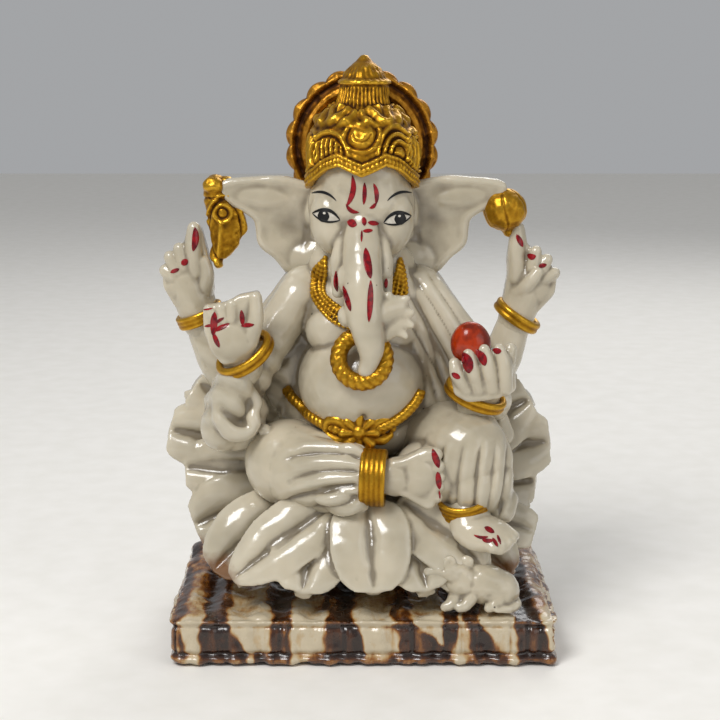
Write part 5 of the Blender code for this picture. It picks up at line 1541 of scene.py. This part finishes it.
def leafy_skin(obj):
    """The soft lumps of the petals."""
    carve(obj, lambda x, y, z, ways: 0.22 * grit(x, y, z, 5, 1) + 0.1 * grit(x, y, z, 2, 2))


def buckle_wash(x, y, z):
    """Gold-brown paint that ran from the buckle on to the belly."""
    buckle = centre("belt_buckle")
    return 0.55 * near(x - buckle.x, 0, 8) * near(z - buckle.z, 0.5, 3.6) * (y < 0)


def make_body():
    resin_piece("figure_body", figure_body, ("torso", "shawl", "upper_left_arm", "upper_right_arm",
                                             "lower_left_arm", "lower_right_arm"), body_folds, None,
                buckle_wash)


def make_legs():
    resin_piece("folded_leg_cloth", folded_leg, ("folded_leg",), folded_leg_folds, 0.32, smoothing=10)
    resin_piece("raised_leg_cloth", raised_leg, ("raised_leg",), raised_leg_folds, 0.32, smoothing=14)
    resin_piece("folded_foot_bare", folded_foot, ("folded_foot",), None, 0.28, smoothing=8)
    resin_piece("raised_foot_bare", raised_foot, ("raised_foot",), None, 0.28, smoothing=8)


def make_head():
    resin_piece("head_and_trunk", head, ("head", "trunk", "trunk_curl"), None, 0.32, smoothing=18)
    for name, side in (("right", RIGHT), ("left", LEFT)):
        resin_piece(f"{name}_tusk_bare", lambda bm: tusk(bm, name, side), (f"{name}_tusk",), None, 0.24)


def make_ears():
    for name, side in (("right", RIGHT), ("left", LEFT)):
        resin_piece(f"{name}_ear_fan", lambda bm: ear(bm, name, side), (f"{name}_ear",), ear_hollows,
                    0.32, smoothing=10)


def make_hands():
    for name, build in (("upper_right", upper_right_hand), ("upper_left", upper_left_hand),
                        ("lower_right", blessing_hand), ("lower_left", offering_hand)):
        resin_piece(f"{name}_hand_bare", build, (f"{name}_hand",), None, 0.27, smoothing=8)


def make_mouse():
    resin_piece("mouse_bare", mouse, ("mouse",), mouse_marks, 0.27, smoothing=6)


def make_jewels():
    necklace()
    pendant_ring()
    belt()
    bangles()


def make_held():
    axe()
    lotus_bud()
    modak()


# ---- Settings, operators and panel -----------------------------------------------------------
class IdolSizes(bpy.types.PropertyGroup):
    grain: FloatProperty(name="Skin grain",
                         description="Spacing of the resin skin's points, in millimetres",
                         default=0.44, min=0.2, max=1)
    relief: FloatProperty(name="Crown relief",
                          description="Depth of the crown's chasing beside its drawn depth",
                          default=1.0, min=0, max=2, subtype="FACTOR")


class IdolColours(bpy.types.PropertyGroup):
    # Its default is darker than the resin's own cream: painted shade, for the shade the whole figure sits
    # in.
    cream: FloatVectorProperty(name="Cream", description="The resin's lightest colour", subtype="COLOR",
                               default=linear("#c4b9a2")[:3], min=0, max=1)
    # Dirt and painted shade: the grey-brown that the resin's creases are darkened towards, and how
    # strongly.
    grime_and_shade: FloatVectorProperty(name="Grime", description="What lies in the resin's creases",
                               subtype="COLOR", default=linear("#5a4d3a")[:3], min=0, max=1)
    grime_and_shade_strength: FloatProperty(name="Grime strength", description="How far grime hides the resin",
                                  default=0.7, min=0, max=1, subtype="FACTOR")
    gold: FloatVectorProperty(name="Gold", description="The bronze paint on its ridges", subtype="COLOR",
                              default=linear("#d6a42e")[:3], min=0, max=1)
    red: FloatVectorProperty(name="Red", description="The painted marks", subtype="COLOR",
                             default=linear("#920511")[:3], min=0, max=1)
    orange: FloatVectorProperty(name="Orange", description="The sweet", subtype="COLOR",
                                default=linear("#a83004")[:3], min=0, max=1)
    walnut: FloatVectorProperty(name="Walnut", description="The stain on the block", subtype="COLOR",
                                default=linear("#4c270a")[:3], min=0, max=1)


class IdolStage(bpy.types.PropertyGroup):
    floor: FloatVectorProperty(name="Floor", description="The floor's darker tone", subtype="COLOR",
                               default=linear("#f0ede6")[:3], min=0, max=1)
    room_light: FloatProperty(name="Room light", description="Strength of the light from all round",
                              default=0.45, min=0)
    key_power: FloatProperty(name="Key light", description="Power of the main soft light", subtype="POWER",
                             default=3.9, min=0, unit="POWER")


class IdolOperator:
    """What the operators share: they can be undone, and they belong to one piece or group."""

    bl_options = {"REGISTER", "UNDO"}


class IDOL_OT_block(IdolOperator, bpy.types.Operator):
    """Makes the stained block that the lotus stands on"""

    bl_idname = "idol.block"
    bl_label = "Stained Block"

    def execute(self, context):
        make_block()
        return {"FINISHED"}


class IDOL_OT_lotus(IdolOperator, bpy.types.Operator):
    """Makes the lotus petals in front, behind and beside the figure"""

    bl_idname = "idol.lotus"
    bl_label = "Lotus Seat"

    def execute(self, context):
        make_lotus()
        return {"FINISHED"}


class IDOL_OT_body(IdolOperator, bpy.types.Operator):
    """Makes the belly, the chest, the arms and the shawl in one casting"""

    bl_idname = "idol.body"
    bl_label = "Body and Shawl"

    def execute(self, context):
        make_body()
        return {"FINISHED"}


class IDOL_OT_legs(IdolOperator, bpy.types.Operator):
    """Makes both legs in their cloth, and both bare feet"""

    bl_idname = "idol.legs"
    bl_label = "Legs and Feet"

    def execute(self, context):
        make_legs()
        return {"FINISHED"}


class IDOL_OT_head(IdolOperator, bpy.types.Operator):
    """Makes the head with its trunk, and the two tusks"""

    bl_idname = "idol.head"
    bl_label = "Head and Tusks"

    def execute(self, context):
        make_head()
        return {"FINISHED"}


class IDOL_OT_ears(IdolOperator, bpy.types.Operator):
    """Makes the two fan-shaped ears"""

    bl_idname = "idol.ears"
    bl_label = "Ears"

    def execute(self, context):
        make_ears()
        return {"FINISHED"}


class IDOL_OT_hands(IdolOperator, bpy.types.Operator):
    """Makes the four hands"""

    bl_idname = "idol.hands"
    bl_label = "Hands"

    def execute(self, context):
        make_hands()
        return {"FINISHED"}


class IDOL_OT_crown(IdolOperator, bpy.types.Operator):
    """Makes the gilt crown with its chased rings"""

    bl_idname = "idol.crown"
    bl_label = "Crown"

    def execute(self, context):
        crown()
        return {"FINISHED"}


class IDOL_OT_halo(IdolOperator, bpy.types.Operator):
    """Makes the gilt halo with its scalloped rim"""

    bl_idname = "idol.halo"
    bl_label = "Halo"

    def execute(self, context):
        halo()
        return {"FINISHED"}


class IDOL_OT_jewels(IdolOperator, bpy.types.Operator):
    """Makes the necklace, the pendant ring, the belt, the bangles and the anklets"""

    bl_idname = "idol.jewels"
    bl_label = "Gold Jewels"

    def execute(self, context):
        make_jewels()
        return {"FINISHED"}


class IDOL_OT_held(IdolOperator, bpy.types.Operator):
    """Makes the axe, the lotus bud and the orange sweet"""

    bl_idname = "idol.held"
    bl_label = "Held Things"

    def execute(self, context):
        make_held()
        return {"FINISHED"}


class IDOL_OT_mouse(IdolOperator, bpy.types.Operator):
    """Makes the mouse that sits on the block"""

    bl_idname = "idol.mouse"
    bl_label = "Mouse"

    def execute(self, context):
        make_mouse()
        return {"FINISHED"}


class IDOL_OT_marks(IdolOperator, bpy.types.Operator):
    """Paints the eyes, the brows and the crimson marks"""

    bl_idname = "idol.marks"
    bl_label = "Painted Marks"

    def execute(self, context):
        painted_marks()
        return {"FINISHED"}


class IDOL_OT_stage(IdolOperator, bpy.types.Operator):
    """Makes the floor, the lights and the camera"""

    bl_idname = "idol.stage"
    bl_label = "Stage"

    def execute(self, context):
        stage()
        return {"FINISHED"}


OPERATORS = (IDOL_OT_block, IDOL_OT_lotus, IDOL_OT_body, IDOL_OT_legs, IDOL_OT_head, IDOL_OT_ears,
             IDOL_OT_hands, IDOL_OT_crown, IDOL_OT_halo, IDOL_OT_jewels, IDOL_OT_held,
             IDOL_OT_mouse, IDOL_OT_marks, IDOL_OT_stage)


class IDOL_PT_panel(bpy.types.Panel):
    """Lists the idol's pieces in the order they are made"""

    bl_label = "Ganesha Idol"
    bl_space_type = "VIEW_3D"
    bl_region_type = "UI"
    bl_category = "Idol"

    def draw(self, context):
        scene = context.scene
        for name, group in GROUPS:
            box = self.layout.box()
            for key in group.__annotations__:
                box.prop(getattr(scene, name), key)
        for op in OPERATORS:
            self.layout.operator(op.bl_idname)


GROUPS = (("idol_sizes", IdolSizes), ("idol_colours", IdolColours), ("idol_stage", IdolStage))


def register():
    for name, group in GROUPS:
        bpy.utils.register_class(group)
        setattr(bpy.types.Scene, name, PointerProperty(type=group))
    for made in (*OPERATORS, IDOL_PT_panel):
        bpy.utils.register_class(made)


def unregister():
    for made in (IDOL_PT_panel, *reversed(OPERATORS)):
        bpy.utils.unregister_class(made)
    for name, group in reversed(GROUPS):
        delattr(bpy.types.Scene, name)
        bpy.utils.unregister_class(group)


def main():
    register()
    for op in OPERATORS:
        getattr(bpy.ops.idol, op.bl_idname.split(".")[1])()


if __name__ == "__main__":
    main()
